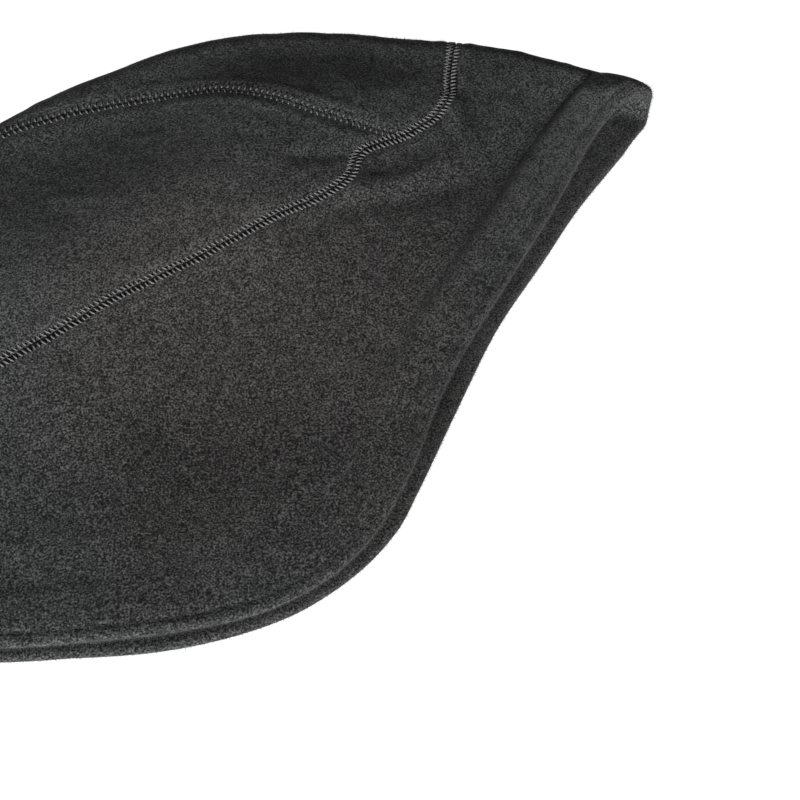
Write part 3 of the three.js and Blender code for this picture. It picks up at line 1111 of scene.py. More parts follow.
@dataclass
class Crown(Panels):
    """The crown: a centre gore over the fold and a side panel on each layer."""

    side_rows: int = 80
    fuzz_runs: float = 9.0

    def build_gore(self) -> bpy.types.Object:
        """Makes the centre gore, which crosses the fold and so is on both layers."""
        places = self.stations.gore.copy()
        across = unit(places[:, -2] - places[:, -1])
        places[:, -1] += across * self.seam_gap / 2
        faces = [make(places, layer) for make in (self.outer_face, self.inner_face) for layer in Layer]
        outer_upper, outer_lower, inner_upper, inner_lower = faces
        outer = np.concatenate([outer_lower[:, :0:-1], outer_upper], axis=1)
        inner = np.concatenate([inner_upper[:, ::-1], inner_lower[:, 1:]], axis=1)
        sections = np.concatenate([outer, inner], axis=1)
        piece = body_from_sections("centre_gore_fleece", sections, ring=False)
        self.finish(piece, "crown_centre_gore")
        return piece

    def build_side(self, layer: Layer) -> bpy.types.Object:
        """Makes one side panel, between the band seam and the crown seam."""
        stations = self.stations
        low = stations.line[stations.front : stations.back + 1][1:-1]
        high = stations.crown_seam[1:-1]
        way = unit(high - low) * self.seam_gap / 2
        shares = np.linspace(0, 1, self.side_rows + 1)[None, :, None]
        rows = (low + way)[:, None] * (1 - shares) + (high - way)[:, None] * shares
        faces = [self.outer_face(rows, layer), self.inner_face(rows, layer)[:, ::-1]]
        sections = np.concatenate(faces, axis=1)
        name = layer.name.lower()
        piece = body_from_sections(f"{name}_side_fleece", sections, ring=False)
        self.finish(piece, f"crown_side_{name}")
        return piece

    def fold_share(self, gore: bpy.types.Object) -> np.ndarray:
        """Returns how densely loose fibres stand at each of the gore's points: most on the fold."""
        runs = self.stations.front + 1
        around = bell(np.arange(4 * runs - 2), runs - 1, self.fuzz_runs)
        return np.tile(around, len(gore.data.vertices) // len(around))


@dataclass
class EarBand(Panels):
    """The ear band, which is one cloth from the seam down and round the turned-in hem."""

    # How finely the sections are cut.
    band_rows: int = 62
    hem_rows: int = 44
    roll_rows: int = 10
    inner_step: int = 3
    # The hem's inner face: thicker where the layers leave room, and at the fold's corner.
    inner_extra: float = 0.5
    inner_groove: float = 0.45
    inner_gap: float = 0.6
    corner_extra: float = 1.7
    corner_radii: float = 1.3
    # Where the hem is free of the fold, and how sharply its inner end shows along the edge.
    free_start: float = 3.0
    free_radii: float = 2.2
    crisp_fades: tuple[float, float] = (-62.0, -12.0)
    back_crisp: float = 0.15
    back_fades: tuple[float, float] = (20.0, 70.0)
    # The hem's crest, and the dip in the single cloth beside it.
    crest: float = 1.0
    crest_at: float = 14.8
    crest_width: float = 2.8
    dip: float = 1.4
    dip_at: float = 3.6
    dip_width: float = 5.4
    dip_fades: tuple[float, float] = (6.0, 22.0)
    # The brow's full, rounded hem.
    brow_roll: float = 2.4
    brow_roll_power: float = 1.1
    brow_fades: tuple[float, float] = (0.0, 62.0)
    # How the upper edge draws back at the brow.
    mouth_pull: float = 5.0
    mouth_at: float = 70.0
    mouth_width: float = 28.0
    mouth_fades: tuple[float, float] = (0.0, 9.0)
    mouth_reach: float = 30.0
    # Where painted shade darkens the ear flap, and where a painted highlight lightens the brow's hem.
    flap_painted_shade: float = 0.45
    flap_fades: tuple[float, float] = (15.0, 60.0)
    pile_starts: tuple[float, float] = (-1.0, 9.0)
    pile_ends: tuple[float, float] = (-2.0, 6.0)
    tip_pile: float = 0.3
    tip_fades: tuple[float, float] = (4.0, 16.0)
    # How the lower edge curls up and out.
    curl: float = 3.4
    curl_room: float = 0.45
    curl_fades: tuple[float, float] = (2.0, 20.0)
    curl_slope_deg: float = 30.0
    curl_reach: float = 12.0
    # How the brow's corner is rounded: about a place, how far away, and by how much in x and y.
    tip_shifts: tuple[tuple[tuple[float, float], float, tuple[float, float]], ...] = (
        ((124.2, 84.5), 11.0, (-0.8, -0.7)),
        ((119.5, 70.5), 12.0, (-0.7, 0.5)),
    )
    # The topstitch groove, less deep on the flap and a little uneven, and the thinned free edge.
    groove: float = 1.25
    groove_at: float = 3.8
    groove_width: float = 0.9
    groove_least: float = 0.25
    groove_fades: tuple[float, float] = (-80.0, -30.0)
    groove_even: float = 0.9
    groove_patch: float = 0.2
    groove_patch_size: float = 2.2
    lip_thinning: float = 0.9
    lip_thinning_width: float = 2.0
    fuzz_rows: float = 6.0

    def lines(self, layer: Layer) -> tuple[np.ndarray, np.ndarray, np.ndarray]:
        """Returns the band's seam line, its hem line and its free edge, on the pattern."""
        shares = self.stations.shares
        edge_curve = self.form.edges[layer]
        edge = edge_curve.at(shares)
        hem = self.form.end_on_fold(edge + edge_curve.inward(shares) * self.form.hem_width, shares)
        way = unit(hem - self.stations.line)
        return self.stations.line + way * self.seam_gap / 2, hem, edge

    def rows(self, start: np.ndarray, end: np.ndarray, steps: np.ndarray) -> np.ndarray:
        """Returns rows between two lines at these shares of the way."""
        shares = self.stations.shares
        return np.stack([self.form.row_between(start, end, step, shares) for step in steps], axis=1)

    def hem_chain(self, hem: np.ndarray, edge: np.ndarray, layer: Layer) -> np.ndarray:
        """Makes the hem's part of each section: outer face, rolled edge, inner face.

        Args:
            hem: The hem line.
            edge: The free edge.
            layer: The layer that they are on.

        Returns:
            Points by section and by place, from the hem line round the edge and back.
        """
        form = self.form
        roll = HEM_RELIEF[-1].back
        outer_back = np.linspace(form.hem_width, roll, self.hem_rows + 1)
        places = self.rows(edge, hem, outer_back / form.hem_width)
        outer = self.outer_face(places, layer, self.hem_rise(places, outer_back, layer))
        inner_back = np.linspace(roll, form.hem_width, self.hem_rows // self.inner_step + 1)
        places = self.rows(edge, hem, inner_back / form.hem_width)
        flat = places.reshape(-1, 2)
        depth = self.hem_depth(flat, np.tile(inner_back, len(places)))
        proud = np.full(len(flat), form.hem_proud)
        inner = form.place(flat, layer, depth, proud).reshape(*places.shape[:2], 3)
        shift = self.curl_of if layer is Layer.LOWER else self.pull_of
        outer = outer + shift(edge, outer_back)
        inner = inner + shift(edge, inner_back)
        middle = (outer[:, -1] + inner[:, 0]) / 2
        half = (outer[:, -1] - inner[:, 0]) / 2
        out = self.rows(edge, hem, np.array([0.0]))[:, 0] - places[:, 0]
        reach = np.column_stack([unit(out) * roll, np.zeros(len(out))])
        turn = np.linspace(0, math.pi, self.roll_rows + 1)[1:-1]
        around = [middle + half * math.cos(t) + reach * math.sin(t) for t in turn]
        return np.concatenate([outer, np.stack(around, axis=1), inner], axis=1)

    def hem_rise(self, places: np.ndarray, backs: np.ndarray, layer: Layer) -> np.ndarray:
        """Returns how far the hem's outer face stands out of the cloth.

        Args:
            places: Places on the pattern, by section and by row.
            backs: Each row's distance from the free edge.
            layer: The layer that they are on.

        Returns:
            A rise for each place, with the brow's roll, the topstitch groove and the dip beside it.
        """
        form = self.form
        rows = HEM_RELIEF[::-1]
        relief = np.interp(backs, [row.back for row in rows], [row.rise for row in rows])
        y = places[..., 1]
        near = form.fold.near(places.reshape(-1, 2))
        free = smooth_step(near.inside, self.free_start, self.free_radii * near.radius).reshape(y.shape)
        stepped = relief + self.crest * bell(backs, self.crest_at, self.crest_width) * free
        sloped = max(row.rise for row in rows) * (1 - backs / form.hem_width)
        crisp = self.crispness(places)
        rise = stepped * crisp + sloped * (1 - crisp)
        share = np.clip((form.hem_width - backs) / (form.hem_width - rows[0].back), 0, 1)
        roll = self.brow_roll * np.sin(math.pi * share) ** self.brow_roll_power
        rise = rise + roll * smooth_step(y, *self.brow_fades) * free
        plain = form.place(places.reshape(-1, 2), layer, *np.zeros((2, y.size)))
        uneven = self.uneven.at(plain, self.groove_patch_size).reshape(y.shape)
        patchy = self.groove_even + self.groove_patch * uneven
        narrow = bell(backs, self.groove_at, self.groove_width)
        along = self.groove_least + (1 - self.groove_least) * smooth_step(y, *self.groove_fades)
        rise = rise - self.groove * patchy * narrow * along * free
        return rise - self.dip_beside(places, backs - form.hem_width, layer)

    def hem_depth(self, places: np.ndarray, backs: np.ndarray) -> np.ndarray:
        """Returns how deep the hem's inner face lies under its outer one.

        Args:
            places: Places on the pattern.
            backs: Each one's distance from the free edge.

        Returns:
            A depth for each place, as far as the layers leave room.
        """
        form = self.form
        room = form.free_height(places) - 2 * form.hem_thickness + form.hem_proud
        extra = np.clip((room - self.inner_gap) / 2, 0, self.inner_extra)
        near = form.fold.near(places)
        away = smooth_step(near.inside, 0, self.corner_radii * near.radius)
        extra = extra + self.corner_extra * (1 - away)
        groove = self.inner_groove * bell(backs, self.groove_at, self.groove_width)
        groove = groove + self.lip_thinning * bell(backs, HEM_RELIEF[-1].back, self.lip_thinning_width)
        return form.hem_thickness - form.hem_proud + extra - groove

    def crispness(self, places: np.ndarray) -> np.ndarray:
        """Returns how sharply the hem's inner end shows: fully towards the brow, hardly on the flap."""
        x, y = places[..., 0], places[..., 1]
        at_back = self.back_crisp * smooth_step(-x, *self.back_fades)
        return np.maximum(smooth_step(y, *self.crisp_fades), at_back)

    def dip_beside(self, places: np.ndarray, gap: np.ndarray, layer: Layer) -> np.ndarray:
        """Returns how deep the upper layer sinks beside the hem, where the doubled cloth ends.

        Args:
            places: Places on the pattern.
            gap: How far each is from the hem's end, less than 0 on the hem.
            layer: The layer that they are on.

        Returns:
            A depth for each place. The lower layer lies flat, so it has none.
        """
        if layer is Layer.LOWER:
            return np.zeros(places.shape[:-1])
        inside = self.form.fold.near(places.reshape(-1, 2)).inside.reshape(places.shape[:-1])
        share = self.crispness(places) * smooth_step(inside, *self.dip_fades)
        return self.dip * share * bell(gap, self.dip_at, self.dip_width)

    def curl_of(self, edge: np.ndarray, backs: np.ndarray) -> np.ndarray:
        """Returns how the lower layer's edge curls up and out, as far as the upper one leaves room.

        Args:
            edge: The free edge.
            backs: Distances from the edge.

        Returns:
            A shift by section and by distance.
        """
        room = self.form.free_height(edge) - 2 * self.form.hem_thickness
        inside = self.form.fold.near(edge).inside
        rise = np.clip(self.curl_room * room, 0, self.curl) * smooth_step(inside, *self.curl_fades)
        share = np.clip(1 - backs / self.curl_reach, 0, 1) ** 2
        way = np.array([0.0, -math.tan(math.radians(self.curl_slope_deg)), 1.0])
        return (rise[:, None] * share)[..., None] * way

    def pull_of(self, edge: np.ndarray, backs: np.ndarray) -> np.ndarray:
        """Returns how the upper layer's edge draws back at the brow, where the opening gapes.

        Args:
            edge: The free edge.
            backs: Distances from the edge.

        Returns:
            A shift by section and by distance.
        """
        inside = self.form.fold.near(edge).inside
        amount = self.mouth_pull * bell(edge[:, 1], self.mouth_at, self.mouth_width)
        amount = amount * smooth_step(inside, *self.mouth_fades)
        share = 1 - smooth_step(backs, 0, self.mouth_reach)
        ways = self.form.edges[Layer.UPPER].inward(self.stations.shares)
        ways = np.column_stack([ways, np.zeros(len(ways))])
        return (amount[:, None] * share)[..., None] * ways[:, None]

    def painted_nap_light_and_shade(self) -> np.ndarray:
        """Returns the painted light and shade of the nap at each point.

        It paints a highlight on the brow's hem, where the cloth turns over, and paints shade on the
        ear flap. pile_starts and pile_ends are in rows round the section.
        """
        number = np.arange(self.sections.shape[1])
        start = smooth_step(number - self.band_rows, *self.pile_starts)
        over = start * (1 - smooth_step(number - self.lip_index(), *self.pile_ends))
        y = self.sections[..., 1] - self.form.origin[1]
        lips = self.sections[:, self.band_rows, :2] - self.form.origin
        inside = self.form.fold.near(lips).inside
        from_tip = self.tip_pile + (1 - self.tip_pile) * smooth_step(inside, *self.tip_fades)
        brow = smooth_step(lips[:, 1], *self.brow_fades) * from_tip
        # A painted highlight on the brow's hem, less the painted shade on the flap.
        return brow[:, None] * over[None] - self.flap_painted_shade * smooth_step(-y, *self.flap_fades)

    def round_tip(self, points: np.ndarray) -> np.ndarray:
        """Rounds the corner at the brow, where the hem goes round the fold."""
        moved = points.copy()
        for place, reach, shift in self.tip_shifts:
            away = points[..., :2] - self.form.origin - place
            near = 1 - smooth_step(np.linalg.norm(away, axis=-1), 0, reach)
            moved[..., :2] += near[..., None] * np.array(shift)
        return moved

    def build(self) -> bpy.types.Object:
        """Makes the band with its hem."""
        halves = {}
        for layer in Layer:
            seam, hem, edge = self.lines(layer)
            steps = np.linspace(0, 1, self.band_rows + 1)
            rows = self.rows(seam, hem, steps[:-1])
            beside = np.linalg.norm(rows - hem[:, None], axis=-1)
            outer = self.outer_face(rows, layer, -self.dip_beside(rows, beside, layer))
            inner = self.inner_face(self.rows(seam, hem, steps[: -1 : self.inner_step]), layer)
            rim = self.hem_chain(hem, edge, layer)
            halves[layer] = np.concatenate([outer, rim, inner[:, ::-1]], axis=1)
        upper, lower = halves[Layer.UPPER], halves[Layer.LOWER]
        ends = [(upper[i] + lower[i]) / 2 for i in (0, -1)]
        upper[0], upper[-1] = ends
        self.sections = self.round_tip(np.concatenate([upper, lower[-2:0:-1]]))
        piece = body_from_sections("ear_band_fleece", self.sections, ring=True)
        self.finish(piece, "ear_band", "hem", painted_light_shade=self.painted_nap_light_and_shade().ravel())
        return piece

    def lip_index(self) -> int:
        """Returns the place of the free edge round each section."""
        return self.band_rows + self.hem_rows + self.roll_rows // 2 + 1

    def lip_share(self) -> np.ndarray:
        """Returns how densely loose fibres stand at each point: most on the free edge."""
        around = bell(np.arange(self.sections.shape[1]), self.lip_index(), self.fuzz_rows)
        return np.tile(around, len(self.sections))

    def stitch_lines(self) -> list[tuple[np.ndarray, np.ndarray]]:
        """Returns each layer's topstitch line on the hem, with the way out of the cloth along it."""
        share = (self.form.hem_width - self.groove_at) / (self.form.hem_width - HEM_RELIEF[-1].back)
        index = self.band_rows + round(share * self.hem_rows)
        line = self.sections[:, index]
        across = self.sections[:, index + 1] - self.sections[:, index - 1]
        along = np.roll(line, -1, axis=0) - np.roll(line, 1, axis=0)
        out = unit(np.cross(along, across))
        count = len(self.stations.shares)
        halves = [(line[1 : count - 1], out[1 : count - 1]), (line[count:], out[count:])]
        lines = []
        for (points, ways), way_up in zip(halves, (1, -1)):
            turn = np.sign(np.median(ways[:, 2])) * way_up
            lines.append((points, ways * turn))
        return lines


@dataclass(frozen=True)
class StitchRow:
    """One row of short threads beside a seam.

    aside is its middle's distance from the seam, towards the crown where more than 0. Sizes are
    in millimetres, and slant is in degrees from square across the seam.
    """

    aside: float
    pitch: float
    length: float
    width: float
    slant: float
    start: float = 0.0
    lift: float = 0.12


BAND_ROWS = (
    StitchRow(-1.3, 1.5, 2.5, 0.64, 18, 0.0, 0.04),
    StitchRow(1.1, 1.5, 3.0, 0.56, 24, 0.2, 0.26),
    StitchRow(1.4, 1.5, 2.7, 0.5, -22, 0.9, 0.2),
)
CROWN_ROWS = (
    StitchRow(-1.05, 1.95, 1.9, 0.62, 12, 0.0, 0.16),
    StitchRow(1.0, 1.95, 1.9, 0.6, -14, 0.3, 0.24),
)
TOPSTITCH = StitchRow(0.0, 2.6, 1.7, 0.4, 88, 0.0, -0.1)


@dataclass
class Stitching:
    """The stitches: two-row flatlock seams, and the topstitch that holds the hem."""

    panels: Panels
    seam_thread: bpy.types.Material
    hem_thread: bpy.types.Material
    path_step: float = 0.6
    # How far the rows sway to the side, and how uneven the threads' slants and lengths are.
    sway: float = 0.45
    sway_length: float = 7.0
    slant_spread_deg: float = 11.0
    shortest: float = 0.72
    longest: float = 1.15
    # What the rows' seeds are counted from, on the lower layer and on the hem.
    lower_seeds: int = 10
    hem_seed: int = 30

    def __post_init__(self) -> None:
        """Builds the tree that lays threads along a path."""
        self.tree = self.build_tree()

    def build_tree(self) -> bpy.types.NodeTree:
        """Builds the tree. It reads the way out of the cloth from the path's attribute out."""
        floats = ("Pitch", "Length", "Width", "Slant", "Lift", "Slant Spread")
        inputs = {name: "NodeSocketFloat" for name in floats}
        inputs |= {"Seed": "NodeSocketInt", "Thread": "NodeSocketMaterial"}
        tree, given = new_tree("threads_on_a_path", inputs)
        value = given.outputs
        curve = add_node(tree, "GeometryNodeMeshToCurve", links={"Mesh": value["Geometry"]})
        path = add_node(
            tree,
            "GeometryNodeResampleCurve",
            {"mode": "LENGTH"},
            {"Curve": curve.outputs["Curve"], "Length": value["Pitch"]},
        )
        out = add_node(
            tree,
            "GeometryNodeInputNamedAttribute",
            {"data_type": "FLOAT_VECTOR", "Name": "out"},
        ).outputs["Attribute"]
        lift = add_node(
            tree,
            "ShaderNodeVectorMath",
            {"operation": "SCALE"},
            {"Vector": out, "Scale": value["Lift"]},
        )
        lifted = add_node(
            tree,
            "GeometryNodeSetPosition",
            links={"Geometry": path.outputs["Curve"], "Offset": lift.outputs["Vector"]},
        )
        along = add_node(tree, "GeometryNodeInputTangent").outputs["Tangent"]
        facing = add_node(
            tree,
            "FunctionNodeAxesToRotation",
            {"primary_axis": "Z", "secondary_axis": "X"},
            {"Primary Axis": out, "Secondary Axis": along},
        )
        less = add_node(
            tree, "ShaderNodeMath", {"operation": "SUBTRACT"}, {0: value["Slant"], 1: value["Slant Spread"]}
        )
        more = add_node(
            tree, "ShaderNodeMath", {"operation": "ADD"}, {0: value["Slant"], 1: value["Slant Spread"]}
        )
        slant = add_node(
            tree,
            "FunctionNodeRandomValue",
            {"data_type": "FLOAT"},
            {"Min": less.outputs[0], "Max": more.outputs[0], "Seed": value["Seed"]},
        )
        lean = add_node(tree, "ShaderNodeCombineXYZ", links={"Z": slant.outputs[1]})
        lean_turn = add_node(
            tree, "FunctionNodeEulerToRotation", links={"Euler": lean.outputs["Vector"]}
        )
        turned = add_node(
            tree,
            "FunctionNodeRotateRotation",
            {"rotation_space": "LOCAL"},
            {"Rotation": facing.outputs["Rotation"], "Rotate By": lean_turn.outputs["Rotation"]},
        )
        stretch = add_node(
            tree,
            "FunctionNodeRandomValue",
            {"data_type": "FLOAT", 2: self.shortest, 3: self.longest},
            {"Seed": value["Seed"]},
        )
        length = add_node(
            tree, "ShaderNodeMath", {"operation": "MULTIPLY"}, {0: value["Length"], 1: stretch.outputs[1]}
        )
        size = add_node(
            tree,
            "ShaderNodeCombineXYZ",
            links={"X": value["Width"], "Y": length.outputs[0], "Z": value["Width"]},
        )
        thread = add_node(tree, "GeometryNodeMeshUVSphere", {"Segments": 6, "Rings": 6, "Radius": 0.5})
        laid = add_node(
            tree,
            "GeometryNodeInstanceOnPoints",
            links={
                "Points": lifted.outputs["Geometry"],
                "Instance": thread.outputs["Mesh"],
                "Rotation": turned.outputs["Rotation"],
                "Scale": size.outputs["Vector"],
            },
        )
        end_tree(tree, laid.outputs["Instances"], value["Thread"])
        return tree

    def lay(
        self, name: str, places: np.ndarray, layer: Layer, row: StitchRow, seed: int
    ) -> bpy.types.Object:
        """Lays one row of threads.

        Args:
            name: The piece's name.
            places: The seam's places on the pattern.
            layer: The layer that they are on.
            row: The row.
            seed: What its unevenness is drawn from.

        Returns:
            The row as a piece of its own.
        """
        form = self.panels.form
        none = np.zeros(len(places))
        bare = form.place(places, layer, none, none)
        along = unit(np.gradient(bare, axis=0))
        above = form.place(places, layer, none + 1.0, none)
        out = unit(bare - above)
        side = unit(np.cross(out, along)) * -layer.value
        sway = self.panels.uneven.at(bare, self.sway_length) * self.sway
        path = bare + side * (row.aside + sway)[:, None]
        path = path + out * self.panels.rise(path, layer)[:, None]
        return self.lay_on(name, path, out, layer, row, seed)

    def lay_on(
        self, name: str, path: np.ndarray, out: np.ndarray, layer: Layer, row: StitchRow, seed: int
    ) -> bpy.types.Object:
        """Lays one row of threads on a line in space.

        Args:
            name: The piece's name.
            path: The line's points.
            out: The way out of the cloth at each.
            layer: The layer that they are on.
            row: The row.
            seed: What its unevenness is drawn from.

        Returns:
            The row as a piece of its own.
        """
        lengths = np.concatenate([[0], np.cumsum(np.linalg.norm(np.diff(path, axis=0), axis=1))])
        steps = np.arange(row.start, lengths[-1], self.path_step)
        path = np.stack([np.interp(steps, lengths, path[:, k]) for k in range(3)], axis=1)
        out = np.stack([np.interp(steps, lengths, out[:, k]) for k in range(3)], axis=1)
        links = np.stack([np.arange(len(path) - 1), np.arange(1, len(path))], axis=1)
        piece = new_piece(name, path, links, np.empty((0, 3), int))
        set_attribute(piece, "out", unit(out))
        sizes = {
            "Pitch": row.pitch * MM,
            "Length": row.length * MM,
            "Width": row.width * MM,
            "Slant": math.radians(row.slant) * layer.value,
            "Lift": row.lift * MM,
            "Slant Spread": math.radians(self.slant_spread_deg),
            "Seed": seed,
            "Thread": self.hem_thread if row is TOPSTITCH else self.seam_thread,
        }
        run_tree(piece, self.tree, sizes)
        return piece

    def join(self, pieces: list[bpy.types.Object], name: str) -> bpy.types.Object:
        """Joins rows into one piece under one name."""
        with bpy.context.temp_override(active_object=pieces[0], selected_editable_objects=pieces):
            bpy.ops.object.join()
        whole = pieces[0]
        whole.name = name
        whole.data.name = name
        keep_above_table(whole)
        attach(whole, "root")
        LOG.info("%s: %d faces", name, len(whole.data.polygons))
        return whole

    def build_seams(self) -> None:
        """Sews the band seam and the crown seam on both layers."""
        stations = self.panels.stations
        for name, line, rows in (
            ("band_seam_stitches", stations.line, BAND_ROWS),
            ("crown_seam_stitches", stations.crown_seam, CROWN_ROWS),
        ):
            pieces = []
            for layer, (number, row) in itertools.product(Layer, enumerate(rows)):
                seed = number + self.lower_seeds * (layer is Layer.LOWER)
                pieces.append(self.lay(f"{name}_{len(pieces)}", line, layer, row, seed))
            self.join(pieces, name)

    def build_topstitch(self, lines: list[tuple[np.ndarray, np.ndarray]]) -> None:
        """Sews the hem's topstitch along these lines, one for each layer."""
        pieces = []
        for layer, (path, out) in zip(Layer, lines):
            seed = self.hem_seed + layer.value
            pieces.append(self.lay_on(f"hem_thread_{layer.name}", path, out, layer, TOPSTITCH, seed))
        self.join(pieces, "hem_topstitch")


@dataclass
class Fuzz:
    """Loose fibres that stand off the cloth where it turns: round the lips and over the fold."""

    finish: bpy.types.Material
    length: float = 1.0
    width: float = 0.07
    tilt_deg: float = 50.0
    shortest: float = 0.4
    longest: float = 1.2

    def __post_init__(self) -> None:
        """Builds the tree that grows fibres where the attribute fuzz is more than 0."""
        self.tree = self.build_tree()

    def build_tree(self) -> bpy.types.NodeTree:
        """Builds the tree."""
        floats = ("Density", "Length", "Width", "Tilt")
        inputs = {name: "NodeSocketFloat" for name in floats}
        inputs |= {"Seed": "NodeSocketInt", "Fibre": "NodeSocketMaterial"}
        tree, given = new_tree("loose_fibres", inputs)
        value = given.outputs
        share = add_node(
            tree, "GeometryNodeInputNamedAttribute", {"data_type": "FLOAT", "Name": "fuzz"}
        ).outputs["Attribute"]
        density = add_node(
            tree, "ShaderNodeMath", {"operation": "MULTIPLY"}, {0: share, 1: value["Density"]}
        )
        roots = add_node(
            tree,
            "GeometryNodeDistributePointsOnFaces",
            {"distribute_method": "RANDOM"},
            {"Mesh": value["Geometry"], "Density": density.outputs[0], "Seed": value["Seed"]},
        )
        less = add_node(tree, "ShaderNodeMath", {"operation": "MULTIPLY", 1: -1.0}, {0: value["Tilt"]})
        low = add_node(
            tree, "ShaderNodeCombineXYZ", {"Z": -math.pi}, {"X": less.outputs[0], "Y": less.outputs[0]}
        )
        high = add_node(
            tree, "ShaderNodeCombineXYZ", {"Z": math.pi}, {"X": value["Tilt"], "Y": value["Tilt"]}
        )
        lean = add_node(
            tree,
            "FunctionNodeRandomValue",
            {"data_type": "FLOAT_VECTOR"},
            {0: low.outputs["Vector"], 1: high.outputs["Vector"], "Seed": value["Seed"]},
        )
        lean_turn = add_node(tree, "FunctionNodeEulerToRotation", links={"Euler": lean.outputs[0]})
        turned = add_node(
            tree,
            "FunctionNodeRotateRotation",
            {"rotation_space": "LOCAL"},
            {"Rotation": roots.outputs["Rotation"], "Rotate By": lean_turn.outputs["Rotation"]},
        )
        stretch = add_node(
            tree,
            "FunctionNodeRandomValue",
            {"data_type": "FLOAT", 2: self.shortest, 3: self.longest},
            {"Seed": value["Seed"]},
        )
        length = add_node(
            tree, "ShaderNodeMath", {"operation": "MULTIPLY"}, {0: value["Length"], 1: stretch.outputs[1]}
        )
        size = add_node(
            tree,
            "ShaderNodeCombineXYZ",
            links={"X": value["Width"], "Y": value["Width"], "Z": length.outputs[0]},
        )
        fibre = add_node(
            tree,
            "GeometryNodeMeshCone",
            {"fill_type": "NONE", "Vertices": 3, "Radius Top": 0.1, "Radius Bottom": 0.5, "Depth": 1.0},
        )
        grown = add_node(
            tree,
            "GeometryNodeInstanceOnPoints",
            links={
                "Points": roots.outputs["Points"],
                "Instance": fibre.outputs["Mesh"],
                "Rotation": turned.outputs["Rotation"],
                "Scale": size.outputs["Vector"],
            },
        )
        end_tree(tree, grown.outputs["Instances"], value["Fibre"])
        return tree

    def grow(
        self, name: str, cloth: bpy.types.Object, share: np.ndarray, per_mm2: float, seed: int
    ) -> None:
        """Grows fibres on a panel.

        Args:
            name: The new piece's name.
            cloth: The panel.
            share: How dense they stand at each of its points, from 0 to 1.
            per_mm2: How many stand on a square millimetre at share 1.
            seed: What their places are drawn from.
        """
        piece = bpy.data.objects.new(name, cloth.data.copy())
        bpy.context.scene.collection.objects.link(piece)
        set_attribute(piece, "fuzz", share)
        values = {
            "Density": per_mm2 / MM**2,
            "Length": self.length * MM,
            "Width": self.width * MM,
            "Tilt": math.radians(self.tilt_deg),
            "Seed": seed,
            "Fibre": self.finish,
        }
        run_tree(piece, self.tree, values)
        keep_above_table(piece)
        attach(piece, "root")
        LOG.info("%s: %d faces", name, len(piece.data.polygons))


@dataclass(frozen=True)
class SoftLight:
    """A square soft light that faces the cap. Its place and the length of its sides are in metres."""

    name: str
    place: tuple[float, float, float]
    side: float
    watts: float


LIGHTS = (
    SoftLight("soft_front_light", (-0.38, -1.45, 0.5), 0.45, 52.0),
    SoftLight("soft_left_light", (-1.36, -0.5, 0.68), 0.45, 3.0),
    SoftLight("soft_top_light", (0.0, 0.0, 1.2), 0.8, 0.6),
)


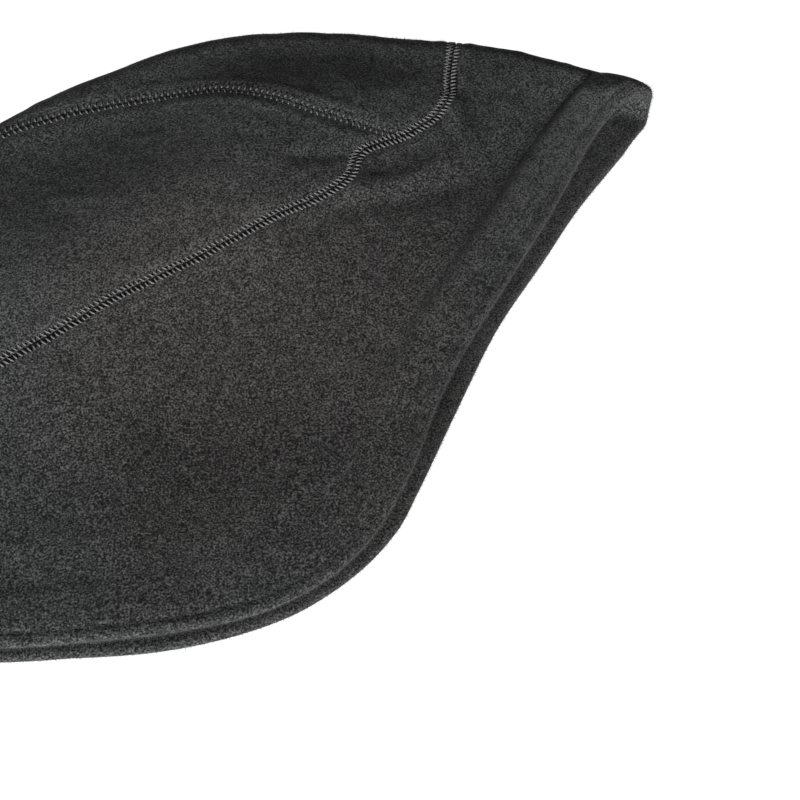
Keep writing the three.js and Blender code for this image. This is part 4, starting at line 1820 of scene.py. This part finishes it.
@dataclass
class Studio:
    """The camera at the photograph's angle, a pale floor and low soft light from the front and the left."""

    form: CapForm
    aim: tuple[float, float] = (40.0, -27.0)
    elevation_deg: float = 60.0
    distance: float = 480.0
    focal_pixels: float = 1600.0
    frame_pixels: float = 800.0
    floor_half_m: float = 3.0
    floor_drop_m: float = 0.0002
    room_light: float = 0.065

    def build_camera(self) -> None:
        """Stands the camera in front of the cap, looking down at it."""
        data = bpy.data.cameras.new("camera")
        data.sensor_width = 36.0
        data.lens = self.focal_pixels / self.frame_pixels * data.sensor_width
        data.clip_start = 0.01
        camera = bpy.data.objects.new("camera", data)
        tilt = math.radians(self.elevation_deg)
        x, y = np.array(self.aim) + self.form.origin
        back = self.distance * math.cos(tilt)
        camera.location = (x * MM, (y - back) * MM, self.distance * math.sin(tilt) * MM)
        camera.rotation_euler = (QUARTER_TURN - tilt, 0, 0)
        bpy.context.scene.collection.objects.link(camera)
        bpy.context.scene.camera = camera

    def build_floor(self) -> None:
        """Lays a plain pale floor just under the cap."""
        half = self.floor_half_m
        square = ((-half, -half), (half, -half), (half, half), (-half, half))
        corners = [(x, y, -self.floor_drop_m) for x, y in square]
        mesh = bpy.data.meshes.new("floor")
        mesh.from_pydata(corners, [], [(0, 1, 2, 3)])
        floor = bpy.data.objects.new("floor", mesh)
        # The eye sees a plain pale ground with no texture and next to no shadow.
        material, tree = new_material("pale_matt_floor")
        shader = add_node(
            tree,
            "ShaderNodeBsdfPrincipled",
            {
                "Base Color": linear("#8c8c8c"),
                "Roughness": 0.9,
                "Emission Color": linear("#ffffff"),
                "Emission Strength": 1.0,
            },
        )
        add_node(tree, "ShaderNodeOutputMaterial", links={"Surface": shader.outputs["BSDF"]})
        mesh.materials.append(material)
        bpy.context.scene.collection.objects.link(floor)
        floor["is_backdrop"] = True

    def build_light(self) -> None:
        """Hangs the lights and sets the room's even light."""
        for row in LIGHTS:
            data = bpy.data.lights.new(row.name, "AREA")
            data.size = row.side
            data.energy = row.watts
            light = bpy.data.objects.new(row.name, data)
            light.location = row.place
            x, y, z = row.place
            tilt = math.atan2(math.hypot(x, y), z)
            light.rotation_euler = (tilt, 0, math.atan2(y, x) + QUARTER_TURN)
            bpy.context.scene.collection.objects.link(light)
        world = bpy.data.worlds.new("studio")
        world.use_nodes = True
        background = world.node_tree.nodes["Background"]
        background.inputs["Color"].default_value = linear("#ffffff")
        background.inputs["Strength"].default_value = self.room_light
        bpy.context.scene.world = world
        bpy.context.scene.view_settings.view_transform = "Standard"

    def build(self) -> None:
        """Builds camera, floor and light."""
        self.build_camera()
        self.build_floor()
        self.build_light()


def main() -> None:
    """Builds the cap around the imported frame."""
    logging.basicConfig(level=logging.INFO, format="%(name)s: %(message)s")
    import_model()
    form = CapForm()
    Studio(form).build()
    fleece = FleeceFinish().build()
    stations = Stations(form)
    crown = Crown(form, stations, fleece)
    gore = crown.build_gore()
    crown.build_side(Layer.UPPER)
    crown.build_side(Layer.LOWER)
    band = EarBand(form, stations, fleece)
    band_piece = band.build()
    # The seams show as rows of grey stitches, a little lighter than the cloth.
    seam_thread = ThreadFinish("grey_polyester_thread", "#464646", "#747474").build()
    # The hem's thread is nearly black, so that only the groove it pulls shows.
    hem_thread = ThreadFinish("charcoal_polyester_thread", "#1c1c1c", "#3c3c3c").build()
    stitching = Stitching(crown, seam_thread, hem_thread)
    stitching.build_seams()
    stitching.build_topstitch(band.stitch_lines())
    # Single fibres catch the light along the edge and the fold, so that neither looks cut off; their
    # colour, lighter than the cloth's, is a painted highlight.
    pile = ThreadFinish("charcoal_pile_with_painted_highlight", "#2c2c2b", "#6e6e6c").build()
    fuzz = Fuzz(pile)
    fuzz.grow("lip_fibres", band_piece, band.lip_share(), per_mm2=5.0, seed=41)
    fuzz.grow("fold_fibres", gore, crown.fold_share(gore), per_mm2=1.6, seed=43)


if __name__ == "__main__":
    main()
